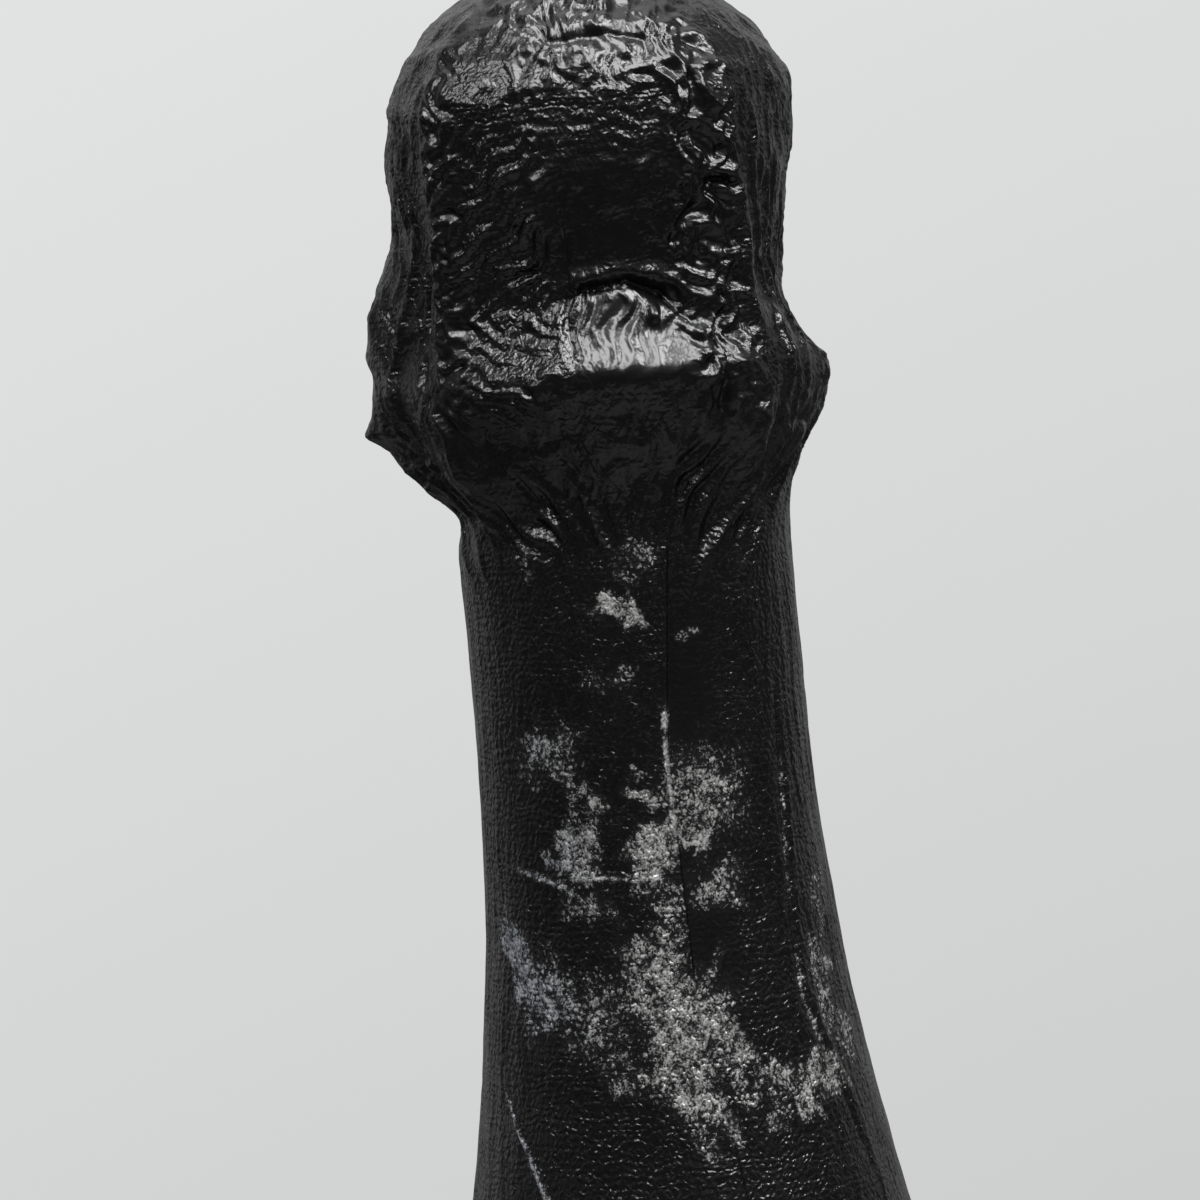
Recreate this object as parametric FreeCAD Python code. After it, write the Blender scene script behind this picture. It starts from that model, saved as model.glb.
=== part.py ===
"""A full, unopened bottle of sparkling wine, in millimetres.

The bottle stands on its base ring with its axis on Z and its origin at the middle of the base.
Its front, with the foil's seam and the large label, faces -Y.  Three kinds of piece make it up:

* the glass, a body of revolution with a punt pressed up into its base, closed as a full bottle is;
* the foil capsule, one crimped sheet over cork, wire hood and neck.  Its inside follows the glass,
  and above the mouth it is solid, because the cork and the wires under it are never seen;
* two paper labels glued to the straight side of the glass.
"""

import FreeCAD, Part
import math
import os

V = FreeCAD.Vector
ORIGIN = V(0, 0, 0)
AXIS = V(0, 0, 1)
FULL_TURN = 360

# ---- glass ----
BODY_DIAMETER = 88.0
GLASS_HEIGHT = 300.0
BODY_HEIGHT = 124.0  # top of the straight side
SHOULDER_RADIUS = 88.0  # convex arc that starts at the straight side
NECK_DIAMETER = 28.7
NECK_LENGTH = 43.0  # straight neck, from the end of the shoulder's sweep up to the mouth
HEEL_RADIUS = 8.0
REST_WIDTH = 3.5  # flat of the ring that the bottle stands on
PUNT_HEIGHT = 29.0
LIP_INSET = 0.05  # how far the lip stands back from the neck
GLASS_RING_PROUD = 1.15  # the ring that the wire hood grips, past the neck
GLASS_RING_HEIGHT = 5.0
GLASS_RING_BELOW_MOUTH = 11.0  # from the mouth to the top of the ring

# ---- foil capsule ----
FOIL_WALL = 0.40  # foil, lacquer and the small air gap of its wrinkles, outside the glass
FOIL_CLEARANCE = 0.05
FOIL_LENGTH = 123.0  # from the crown of the head down to the foot of the skirt
CORK_STAND = 20.0  # how far the crown stands above the mouth
CROWN_FLAT_DIAMETER = 17.0  # flat of the hood's plate, seen through the foil
CROWN_ROUND = 10.0  # height over which the crown rounds into the side of the head
CROWN_POWER = 1.7  # 2 rounds the crown as an ellipse, and less makes it more of a cone
HEAD_PROUD = 3.65  # the widest of the wrapped cork, past the neck
WAIST_PROUD = 1.95  # where the cork meets the glass, past the neck
WAIST_ABOVE_WIRE = 8.0
WIRE_RING_PROUD = 4.15  # belt of the wire hood, foil included, past the neck
WIRE_RING_BELOW_MOUTH = 16.0
TUCK_BELOW_WIRE = 12.0  # height over which the foil closes on the neck under the belt
WIRE_COUNT = 4  # upright wires of the hood
WIRE_TURN_DEG = -92.5  # the front panel's middle, halfway between two wires
WIRE_RISE = 1.6  # how far a wire pushes the foil out past the panels
WIRE_SPREAD_DEG = 15.0  # half-width of the ridge over a wire
LOOP_RISE = 0.9  # bulge over the folded loop of the belt wire
LOOP_TURN_DEG = -4.0
LOOP_SPREAD_DEG = 26.0
LOOP_HALF_HEIGHT = 4.0
FOLD_RISE = 4.7  # long side fold opposite the loop
FOLD_TURN_DEG = 183.0
FOLD_SPREAD_DEG = 22.0
FOLD_HALF_HEIGHT = 7.0
FOLD_ABOVE_WIRE = 7.0
TWIST_RISE = 3.3  # cut end of the wire, a small point under the side fold
TWIST_TURN_DEG = 181.0
TWIST_SPREAD_DEG = 10.0
TWIST_HALF_HEIGHT = 3.2
TWIST_BELOW_WIRE = 2.5
SEAM_TURN_DEG = -78.0  # edge of the overlap, on the front
OVERLAP_DEG = 34.0  # how much of the turn the two ends of the sheet overlap
OVERLAP_RISE = 0.22
SEAM_BELOW_TUCK = 1.0  # the overlap starts this far below the tuck

# ---- labels ----
LABEL_GAP = 0.02
LABEL_THICKNESS = 0.22
LABEL_FOOT_Z = 24.0
FRONT_LABEL_WIDTH = 92.0  # along the glass
FRONT_LABEL_HEIGHT = 78.0
BACK_LABEL_WIDTH = 56.0
BACK_LABEL_HEIGHT = 44.0
FRONT_DEG = -90.0
BACK_DEG = 90.0

# ---- how finely the capsule's form is followed ----
SECTION_POINTS = 72
CROWN_STEPS = 6
HEAD_STEP = 1.3
SKIRT_STEP = 6.5

# ---- levels and radii worked out from the sizes above ----
BODY_R = BODY_DIAMETER / 2
NECK_R = NECK_DIAMETER / 2
NECK_FOOT_Z = GLASS_HEIGHT - NECK_LENGTH
LIP_R = NECK_R - LIP_INSET
GLASS_RING_R = NECK_R + GLASS_RING_PROUD
HEAD_R = NECK_R + HEAD_PROUD
WAIST_R = NECK_R + WAIST_PROUD
WIRE_RING_R = NECK_R + WIRE_RING_PROUD
GLASS_RING_TOP_Z = GLASS_HEIGHT - GLASS_RING_BELOW_MOUTH
GLASS_RING_FOOT_Z = GLASS_RING_TOP_Z - GLASS_RING_HEIGHT
PUNT_R = BODY_R - HEEL_RADIUS - REST_WIDTH
WIRE_Z = GLASS_HEIGHT - WIRE_RING_BELOW_MOUTH
TUCK_Z = WIRE_Z - TUCK_BELOW_WIRE
CROWN_Z = GLASS_HEIGHT + CORK_STAND
CROWN_FOOT_Z = CROWN_Z - CROWN_ROUND
FOIL_FOOT_Z = CROWN_Z - FOIL_LENGTH
SEAM_TOP_Z = TUCK_Z - SEAM_BELOW_TUCK


def sweep_arcs():
    """The shoulder's turn in radians and the radius of the hollow arc that meets the neck.

    The convex and the hollow arc share a tangent, so the turn follows from the rise and the run
    between the straight side and the neck, and the two radii add up to rise / sin(turn)."""
    rise = NECK_FOOT_Z - BODY_HEIGHT
    run = BODY_R - NECK_R
    turn = 2 * math.atan2(run, rise)
    return turn, rise / math.sin(turn) - SHOULDER_RADIUS


SWEEP_TURN, HOLLOW_RADIUS = sweep_arcs()


def glass_radius(z):
    """Radius of the glass at a level between the straight side and the mouth."""
    shoulder_end = BODY_HEIGHT + SHOULDER_RADIUS * math.sin(SWEEP_TURN)
    if z <= BODY_HEIGHT:
        return BODY_R
    if z <= shoulder_end:
        drop = math.sqrt(SHOULDER_RADIUS**2 - (z - BODY_HEIGHT) ** 2)
        return BODY_R - SHOULDER_RADIUS + drop
    if z <= NECK_FOOT_Z:
        reach = math.sqrt(HOLLOW_RADIUS**2 - (NECK_FOOT_Z - z) ** 2)
        return NECK_R + HOLLOW_RADIUS - reach
    if GLASS_RING_FOOT_Z <= z <= GLASS_RING_TOP_Z:
        return GLASS_RING_R
    return NECK_R


def line(start, end):
    """A straight edge between two (radius, height) points."""
    return Part.LineSegment(V(start[0], 0, start[1]), V(end[0], 0, end[1])).toShape()


def arc(start, middle, end):
    """A round edge through three (radius, height) points."""
    points = [V(r, 0, z) for r, z in (start, middle, end)]
    return Part.Arc(*points).toShape()


def turned(edges):
    """The solid that a closed outline of (radius, height) edges makes when turned about Z."""
    face = Part.Face(Part.Wire(Part.__sortEdges__(edges)))
    return face.revolve(ORIGIN, AXIS, FULL_TURN)


def upper_edges(grow):
    """Outline of the glass from the top of its heel to the middle of its mouth, grown outwards."""
    half = SWEEP_TURN / 2
    body, neck = BODY_R + grow, NECK_R + grow
    lip, ring = LIP_R + grow, GLASS_RING_R + grow
    shoulder, hollow = SHOULDER_RADIUS + grow, HOLLOW_RADIUS - grow
    side_top = (body, BODY_HEIGHT)
    neck_foot = (neck, NECK_FOOT_Z)

    def on_shoulder(angle):
        return (body - shoulder * (1 - math.cos(angle)), BODY_HEIGHT + shoulder * math.sin(angle))

    def on_hollow(angle):
        return (neck + hollow * (1 - math.cos(angle)), NECK_FOOT_Z - hollow * math.sin(angle))

    bend = on_shoulder(SWEEP_TURN)
    ring_foot, ring_top = (neck, GLASS_RING_FOOT_Z), (lip, GLASS_RING_TOP_Z)
    ring_middle = (ring, (GLASS_RING_FOOT_Z + GLASS_RING_TOP_Z) / 2)
    mouth = GLASS_HEIGHT + grow
    return [
        line((body, HEEL_RADIUS), side_top),
        arc(side_top, on_shoulder(half), bend),
        arc(bend, on_hollow(half), neck_foot),
        line(neck_foot, ring_foot),
        arc(ring_foot, ring_middle, ring_top),
        line(ring_top, (lip, mouth)),
        line((lip, mouth), (0, mouth)),
    ]


def glass_bottle():
    """The closed glass with its rounded heel and the punt in its base."""
    heel_in = BODY_R - HEEL_RADIUS
    slant = HEEL_RADIUS * (1 - math.sqrt(0.5))
    heel = arc((heel_in, 0), (BODY_R - slant, slant), (BODY_R, HEEL_RADIUS))
    dome_radius = (PUNT_R**2 + PUNT_HEIGHT**2) / (2 * PUNT_HEIGHT)
    half_turn = math.asin(min(1.0, PUNT_R / dome_radius)) / 2
    if PUNT_HEIGHT > PUNT_R:
        half_turn = math.pi / 2 - half_turn
    dome_middle = (
        dome_radius * math.sin(half_turn),
        PUNT_HEIGHT - dome_radius * (1 - math.cos(half_turn)),
    )
    base = [
        line((0, GLASS_HEIGHT), (0, PUNT_HEIGHT)),
        arc((0, PUNT_HEIGHT), dome_middle, (PUNT_R, 0)),
        line((PUNT_R, 0), (heel_in, 0)),
        heel,
    ]
    return turned(base + upper_edges(0))


def smooth(share):
    """An S-shaped step from 0 to 1 as share goes from 0 to 1."""
    share = min(1.0, max(0.0, share))
    return share * share * (3 - 2 * share)


def hump(distance, reach):
    """A soft bump: 1 at distance 0, and near 0 past about twice its reach."""
    return math.exp(-((distance / reach) ** 2))


def turn_between(a, b):
    """The angle from a to b in degrees, from -180 to 180."""
    return (a - b + FULL_TURN / 2) % FULL_TURN - FULL_TURN / 2


def panel_radius(z):
    """Radius of the capsule over a panel between two wires of the hood."""
    neck = glass_radius(z) + FOIL_WALL
    waist_z = WIRE_Z + WAIST_ABOVE_WIRE
    if z <= WIRE_Z:
        return neck + (WIRE_RING_R - neck) * smooth((z - TUCK_Z) / TUCK_BELOW_WIRE)
    if z <= waist_z:
        return WIRE_RING_R + (WAIST_R - WIRE_RING_R) * smooth((z - WIRE_Z) / WAIST_ABOVE_WIRE)
    if z <= CROWN_FOOT_Z:
        return WAIST_R + (HEAD_R - WAIST_R) * smooth((z - waist_z) / (CROWN_FOOT_Z - waist_z))
    return HEAD_R


def head_swell(angle, z):
    """How far wires, loop, side fold and wire end push the foil out past its panels."""
    pitch = FULL_TURN / WIRE_COUNT
    from_panel = turn_between(angle, WIRE_TURN_DEG) % pitch
    wire = WIRE_RISE * hump(from_panel - pitch / 2, WIRE_SPREAD_DEG)
    wire *= smooth((z - TUCK_Z) / TUCK_BELOW_WIRE)
    loop = LOOP_RISE * hump(turn_between(angle, LOOP_TURN_DEG), LOOP_SPREAD_DEG)
    loop *= hump(z - WIRE_Z, LOOP_HALF_HEIGHT)
    fold = FOLD_RISE * hump(turn_between(angle, FOLD_TURN_DEG), FOLD_SPREAD_DEG)
    fold *= hump(z - WIRE_Z - FOLD_ABOVE_WIRE, FOLD_HALF_HEIGHT)
    twist = TWIST_RISE * hump(turn_between(angle, TWIST_TURN_DEG), TWIST_SPREAD_DEG)
    twist *= hump(z - WIRE_Z + TWIST_BELOW_WIRE, TWIST_HALF_HEIGHT)
    return wire + (loop + fold + twist) * smooth((z - TUCK_Z) / TUCK_BELOW_WIRE)


def foil_radius(angle, z):
    """Radius of the capsule at an angle and a level; the crown rounds over as part of an oval."""
    wide = panel_radius(z) + head_swell(angle, z)
    if z <= CROWN_FOOT_Z:
        return wide
    up = min(1.0, (z - CROWN_FOOT_Z) / CROWN_ROUND)
    flat = CROWN_FLAT_DIAMETER / 2
    return flat + (wide - flat) * (1 - up**CROWN_POWER) ** (1 / CROWN_POWER)


def section(z):
    """The capsule's closed outline at one level, with the same even knots at every level."""
    points = []
    for i in range(SECTION_POINTS):
        angle = FULL_TURN * i / SECTION_POINTS
        radius = foil_radius(angle, z)
        turn = math.radians(angle)
        points.append(V(radius * math.cos(turn), radius * math.sin(turn), z))
    curve = Part.BSplineCurve()
    knots = [i / SECTION_POINTS for i in range(SECTION_POINTS + 1)]
    curve.interpolate(Points=points, PeriodicFlag=True, Parameters=knots)
    return Part.Wire(curve.toShape())


def evenly(low, high, step):
    """Levels from low up to, but not including, high, no further apart than step."""
    count = max(1, math.ceil((high - low) / step))
    return [low + (high - low) * i / count for i in range(count)]


def capsule_levels():
    """Levels of the sections: wide apart on the skirt, close on the head and round its crown."""
    crown = [
        CROWN_FOOT_Z + CROWN_ROUND * math.sin(math.pi / 2 * i / CROWN_STEPS)
        for i in range(CROWN_STEPS + 1)
    ]
    skirt = evenly(FOIL_FOOT_Z, TUCK_Z, SKIRT_STEP)
    return skirt + evenly(TUCK_Z, CROWN_FOOT_Z, HEAD_STEP) + crown


def seam_overlap():
    """The second layer of foil along the seam, a thin band down the front of the skirt."""
    levels = evenly(FOIL_FOOT_Z, SEAM_TOP_Z, SKIRT_STEP) + [SEAM_TOP_Z]
    bite = FOIL_WALL / 2
    inner = [V(glass_radius(z) + bite, 0, z) for z in levels]
    outer = [V(glass_radius(z) + FOIL_WALL + OVERLAP_RISE, 0, z) for z in levels]
    edges = []
    for rail in (inner, outer):
        curve = Part.BSplineCurve()
        curve.interpolate(rail)
        edges.append(curve.toShape())
    edges.append(Part.LineSegment(inner[0], outer[0]).toShape())
    edges.append(Part.LineSegment(inner[-1], outer[-1]).toShape())
    face = Part.Face(Part.Wire(Part.__sortEdges__(edges)))
    band = face.revolve(ORIGIN, AXIS, OVERLAP_DEG)
    band.rotate(ORIGIN, AXIS, SEAM_TURN_DEG - OVERLAP_DEG)
    return band


def foil_capsule():
    """The whole capsule, bored out to the glass."""
    sleeve = Part.makeLoft([section(z) for z in capsule_levels()], True, False)
    base = [
        line((0, GLASS_HEIGHT + FOIL_CLEARANCE), (0, HEEL_RADIUS)),
        line((0, HEEL_RADIUS), (BODY_R + FOIL_CLEARANCE, HEEL_RADIUS)),
    ]
    inside = turned(base + upper_edges(FOIL_CLEARANCE))
    return sleeve.fuse(seam_overlap()).cut(inside)


def label(width, height, middle_deg):
    """A paper label bent round the straight side, its middle at the given angle."""
    inner = BODY_R + LABEL_GAP
    outer = inner + LABEL_THICKNESS
    top = LABEL_FOOT_Z + height
    corners = [(inner, LABEL_FOOT_Z), (outer, LABEL_FOOT_Z), (outer, top), (inner, top)]
    edges = [line(a, b) for a, b in zip(corners, corners[1:] + corners[:1])]
    turn = math.degrees(width / inner)
    paper = Part.Face(Part.Wire(edges)).revolve(ORIGIN, AXIS, turn)
    paper.rotate(ORIGIN, AXIS, middle_deg - turn / 2)
    return paper


def one_solid(shape):
    """The single solid in a shape, facing outwards."""
    solids = shape.Solids
    if len(solids) != 1:
        raise ValueError(f"expected one solid and got {len(solids)}")
    solid = solids[0]
    if solid.Volume < 0:
        solid.reverse()
    return solid


def main():
    """Builds each piece and writes it to parts/, one file to a piece."""
    pieces = {
        "glass_bottle": glass_bottle(),
        "foil_capsule": foil_capsule(),
        "front_label": label(FRONT_LABEL_WIDTH, FRONT_LABEL_HEIGHT, FRONT_DEG),
        "back_label": label(BACK_LABEL_WIDTH, BACK_LABEL_HEIGHT, BACK_DEG),
    }
    os.makedirs("parts", exist_ok=True)
    for name, shape in pieces.items():
        solid = one_solid(shape)
        solid.exportStep(f"parts/{name}.step")
        print(f"{name}: {solid.Volume / 1000:.1f} cm3, valid {solid.isValid()}")


main()
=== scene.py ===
"""A full sparkling-wine bottle in its foil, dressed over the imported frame.

The bottle stands on the origin with its axis on Z and its front towards -Y.  Shapes are worked out
in millimetres, on grids of (row, column) points round the axis, and become metres in MeshKit.
A bearing is the angle round the axis in degrees: 0 is the front, and it grows towards +X.
"""

import logging
import math
from dataclasses import dataclass, field
from enum import Enum
from typing import Any, Sequence

import bpy
import numpy as np
from mathutils import Matrix, Vector


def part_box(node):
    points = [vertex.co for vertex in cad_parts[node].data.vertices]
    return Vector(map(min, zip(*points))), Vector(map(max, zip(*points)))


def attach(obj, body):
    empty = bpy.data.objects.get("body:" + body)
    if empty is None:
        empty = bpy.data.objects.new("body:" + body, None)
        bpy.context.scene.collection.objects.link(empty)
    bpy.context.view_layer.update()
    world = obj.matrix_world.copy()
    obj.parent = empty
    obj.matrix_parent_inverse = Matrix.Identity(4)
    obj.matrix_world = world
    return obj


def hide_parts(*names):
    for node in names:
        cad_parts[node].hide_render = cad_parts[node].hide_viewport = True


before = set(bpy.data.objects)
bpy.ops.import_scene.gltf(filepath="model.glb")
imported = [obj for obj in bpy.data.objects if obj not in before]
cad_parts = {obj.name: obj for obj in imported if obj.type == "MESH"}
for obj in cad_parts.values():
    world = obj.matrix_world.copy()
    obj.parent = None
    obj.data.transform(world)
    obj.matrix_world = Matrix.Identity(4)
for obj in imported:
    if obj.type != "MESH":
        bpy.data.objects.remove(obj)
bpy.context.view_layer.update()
MM = 0.001
LOG = logging.getLogger("bottle")
Array = np.ndarray
Colour = tuple[float, float, float, float]


class Slot(Enum):
    """The record's material slots."""

    GLASS = "bottle_glass"
    FOIL = "foil"
    PAPER = "label_paper"


class Fold(Enum):
    """How a field of wrinkles is folded."""

    WAVES = "waves"
    CRUSHED = "crushed"


# ---- numbers and noise ----------------------------------------------------------------------


def smooth(low: float, high: float, value: Array) -> Array:
    """An S-shaped step from 0 at low to 1 at high, 3t^2 - 2t^3.

    Args:
        low: Where the step starts.
        high: Where it ends; it may lie under low for a falling step.
        value: The values to step.

    Returns:
        The step at each value.
    """
    t = np.clip((np.asarray(value, float) - low) / (high - low), 0.0, 1.0)
    return t * t * (3.0 - 2.0 * t)


def hump(offset: Array, reach: float, power: float = 2.0) -> Array:
    """A bump of height 1, exp(-|offset / reach|^power).

    Args:
        offset: Distance from the bump's middle.
        reach: Distance at which it has fallen to 0.37.
        power: 2 is soft, less is peaked, more is boxy.

    Returns:
        The bump at each offset.
    """
    return np.exp(-(np.abs(offset / reach) ** power))


def band(value: Array, low: float, rises: float, falls: float, high: float) -> Array:
    """A soft window, the product of a rising and a falling step.

    Args:
        value: The values to look at.
        low: 0 below here.
        rises: 1 from here on.
        falls: 1 up to here.
        high: 0 above here.

    Returns:
        The window at each value.
    """
    return smooth(low, rises, value) * smooth(high, falls, value)


def turn_between(bearing: Array, middle: float) -> Array:
    """The bearing seen from a middle bearing, from -180 to 180 degrees."""
    return (np.asarray(bearing, float) - middle + 180.0) % 360.0 - 180.0


def facing(bearing: Array, middle: float, reach: float, power: float = 2.0) -> Array:
    """A hump round a middle bearing, with its reach in degrees."""
    return hump(turn_between(bearing, middle), reach, power)


def around(turn: Array, radius: Array, z: Array) -> Array:
    """Places (r sin turn, -r cos turn, z) round the axis, with the turn in radians."""
    return np.stack(np.broadcast_arrays(radius * np.sin(turn), -radius * np.cos(turn), z), -1)


def push(grid: Array, turn: Array, out: Array, up: Array | float = 0.0) -> None:
    """Moves a grid's points away from the axis and upwards, in place.

    Args:
        grid: The points, which it changes.
        turn: Their turn round the axis, in radians.
        out: How far each goes outwards.
        up: How far each goes up.
    """
    grid[..., 0] += out * np.sin(turn)
    grid[..., 1] -= out * np.cos(turn)
    grid[..., 2] += up


@dataclass(frozen=True)
class Noise:
    """Smooth random field in space: gradients on a unit lattice, blended by a quintic step.

    Attributes:
        seed: Draws the gradients.
    """

    seed: int

    def at(self, points: Array, size: Sequence[float] | float = 1.0) -> Array:
        """The field, from about -1 to 1.

        Args:
            points: Places, with x, y, z last.
            size: Lattice pitch, the same for all axes or one for each.

        Returns:
            One value for each place.
        """
        rng = np.random.default_rng(self.seed)
        order = rng.permutation(256)
        order = np.concatenate([order, order])
        slopes = rng.normal(size=(256, 3))
        slopes /= np.linalg.norm(slopes, axis=1, keepdims=True)
        scaled = points / np.asarray(size, float)
        cell = np.floor(scaled).astype(int)
        part = scaled - cell
        blend = part**3 * (part * (part * 6.0 - 15.0) + 10.0)
        total = np.zeros(scaled.shape[:-1])
        for corner in np.ndindex(2, 2, 2):
            step = np.array(corner)
            x, y, z = np.moveaxis((cell + step) & 255, -1, 0)
            slope = slopes[order[order[order[x] + y] + z]]
            weight = np.prod(np.where(step == 1, blend, 1.0 - blend), axis=-1)
            total += weight * ((part - step) * slope).sum(-1)
        return total * 1.7

    def ridges(self, points: Array, size: Sequence[float] | float, sharp: float = 2.0) -> Array:
        """Thin crests where the field passes zero, (1 - |2 noise|)^sharp, from 0 to 1.

        Args:
            points: Places, with x, y, z last.
            size: Lattice pitch.
            sharp: Higher makes thinner crests.

        Returns:
            One value for each place.
        """
        return np.clip(1.0 - 2.0 * np.abs(self.at(points, size)), 0.0, 1.0) ** sharp

    def folds(self, points: Array, size: Sequence[float] | float) -> Array:
        """Flat slopes between sharp crests, 0.45 - |noise|, from about -0.5 to 0.45."""
        return 0.45 - np.abs(self.at(points, size))


# ---- meshes ---------------------------------------------------------------------------------


@dataclass
class Sheet:
    """A surface on a grid of (row, column) points round the axis.

    Attributes:
        points: Places in millimetres, shaped (rows, columns, 3).
        uv: Texture places, shaped (rows, columns + 1, 2), or None.
        marks: Named values for each point.
        poles: Closing points before the first and after the last row, or None where open.
        ring: True if the last row joins on to the first, which closes a sheet like a tyre.
    """

    points: Array
    uv: Array | None = None
    marks: dict[str, Array] = field(default_factory=dict)
    poles: tuple[Sequence[float] | None, Sequence[float] | None] = (None, None)
    ring: bool = False


class MeshKit:
    """Turns sheets into Blender objects."""

    @staticmethod
    def quads(rows: int, columns: int, ring: bool) -> tuple[Array, Array]:
        """Corner numbers of a grid's quads, and the (row, column) of each corner for its UV.

        Args:
            rows: Rows of points.
            columns: Columns of points.
            ring: True if the last row joins on to the first.

        Returns:
            Vertex numbers and UV numbers, both shaped (faces, 4).
        """
        r, c = (part.ravel() for part in np.indices((rows if ring else rows - 1, columns)))
        r2, c2 = (r + 1) % rows, (c + 1) % columns
        near, far = r * columns, r2 * columns
        corners = np.stack([near + c, far + c, far + c2, near + c2], 1)
        near, far = r * (columns + 1), r2 * (columns + 1)
        places = np.stack([near + c, far + c, far + c + 1, near + c + 1], 1)
        return corners, places

    @staticmethod
    def build(name: str, sheet: Sheet) -> bpy.types.Object:
        """Makes a smooth-shaded object of a sheet, with faces outwards where rows run downwards.

        Args:
            name: The object's name.
            sheet: The surface.

        Returns:
            The object, at the origin and linked to the scene.
        """
        rows, columns = sheet.points.shape[:2]
        vertices = sheet.points.reshape(-1, 3) * MM
        corners, places = MeshKit.quads(rows, columns, sheet.ring)
        faces = corners.tolist()
        column = np.arange(columns)
        fans = []
        for end, pole in enumerate(sheet.poles):
            if pole is None:
                continue
            tip = len(vertices)
            vertices = np.vstack([vertices, np.asarray(pole, float)[None] * MM])
            row = 0 if end == 0 else rows - 1
            near, far = row * columns + column, row * columns + (column + 1) % columns
            order = (near, far) if end == 0 else (far, near)
            faces += np.stack([np.full(columns, tip), *order], 1).tolist()
            fans.append((row, end))
        mesh = bpy.data.meshes.new(name)
        mesh.from_pydata(vertices, [], faces)
        mesh.polygons.foreach_set("use_smooth", np.ones(len(faces), bool))
        if sheet.uv is not None:
            flat = sheet.uv.reshape(-1, 2)
            loops = [flat[places.ravel()]]
            for row, end in fans:
                near = flat[row * (columns + 1) + column]
                far = flat[row * (columns + 1) + column + 1]
                order = (near, far) if end == 0 else (far, near)
                loops.append(np.stack([(near + far) / 2, *order], 1).reshape(-1, 2))
            mesh.uv_layers.new(name="UVMap").data.foreach_set("uv", np.vstack(loops).ravel())
        for key, values in sheet.marks.items():
            filled = np.zeros(len(vertices), np.float32)
            filled[: rows * columns] = values.ravel()
            mesh.attributes.new(key, "FLOAT", "POINT").data.foreach_set("value", filled)
        mesh.update()
        made = bpy.data.objects.new(name, mesh)
        bpy.context.scene.collection.objects.link(made)
        return made

    @staticmethod
    def report(piece: bpy.types.Object) -> None:
        """Logs a piece's triangles."""
        count = sum(len(face.vertices) - 2 for face in piece.data.polygons)
        LOG.info("%s: %d triangles", piece.name, count)


# ---- shader maths ---------------------------------------------------------------------------


@dataclass(frozen=True)
class Shade:
    """A number that varies over a surface: one shader socket, with arithmetic.

    Attributes:
        tree: The node tree it belongs to.
        socket: The output that carries it.
    """

    tree: "Tree"
    socket: Any

    def _math(self, operation: str, *others: Any, first: Any = None) -> "Shade":
        """Adds a Math node.

        Args:
            operation: The node's operation.
            others: Its second and third operands.
            first: Its first operand, where that isn't this value.

        Returns:
            The result.
        """
        given = [self if first is None else first, *others]
        inputs = {i: value for i, value in enumerate(given)}
        return self.tree.value("ShaderNodeMath", {"operation": operation}, inputs)

    def __add__(self, other: Any) -> "Shade":
        """This plus other."""
        return self._math("ADD", other)

    __radd__ = __add__

    def __sub__(self, other: Any) -> "Shade":
        """This minus other."""
        return self._math("SUBTRACT", other)

    def __rsub__(self, other: Any) -> "Shade":
        """Other minus this."""
        return self._math("SUBTRACT", self, first=other)

    def __mul__(self, other: Any) -> "Shade":
        """This times other."""
        return self._math("MULTIPLY", other)

    __rmul__ = __mul__

    def __truediv__(self, other: Any) -> "Shade":
        """This over other."""
        return self._math("DIVIDE", other)

    def __pow__(self, other: Any) -> "Shade":
        """This to the power of other."""
        return self._math("POWER", other)

    def cos(self) -> "Shade":
        """Its cosine."""
        return self._math("COSINE")

    def size(self) -> "Shade":
        """Its absolute value."""
        return self._math("ABSOLUTE")

    def least(self, other: Any) -> "Shade":
        """The smaller of this and other."""
        return self._math("MINIMUM", other)

    def most(self, other: Any) -> "Shade":
        """The larger of this and other."""
        return self._math("MAXIMUM", other)

    def step(self, low: float, high: float) -> "Shade":
        """An S-shaped step.

        Args:
            low: 0 up to here.
            high: 1 from here on.

        Returns:
            The step.
        """
        settings = {"interpolation_type": "SMOOTHSTEP"}
        inputs = {"Value": self, "From Min": low, "From Max": high}
        return self.tree.value("ShaderNodeMapRange", settings, inputs)


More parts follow.
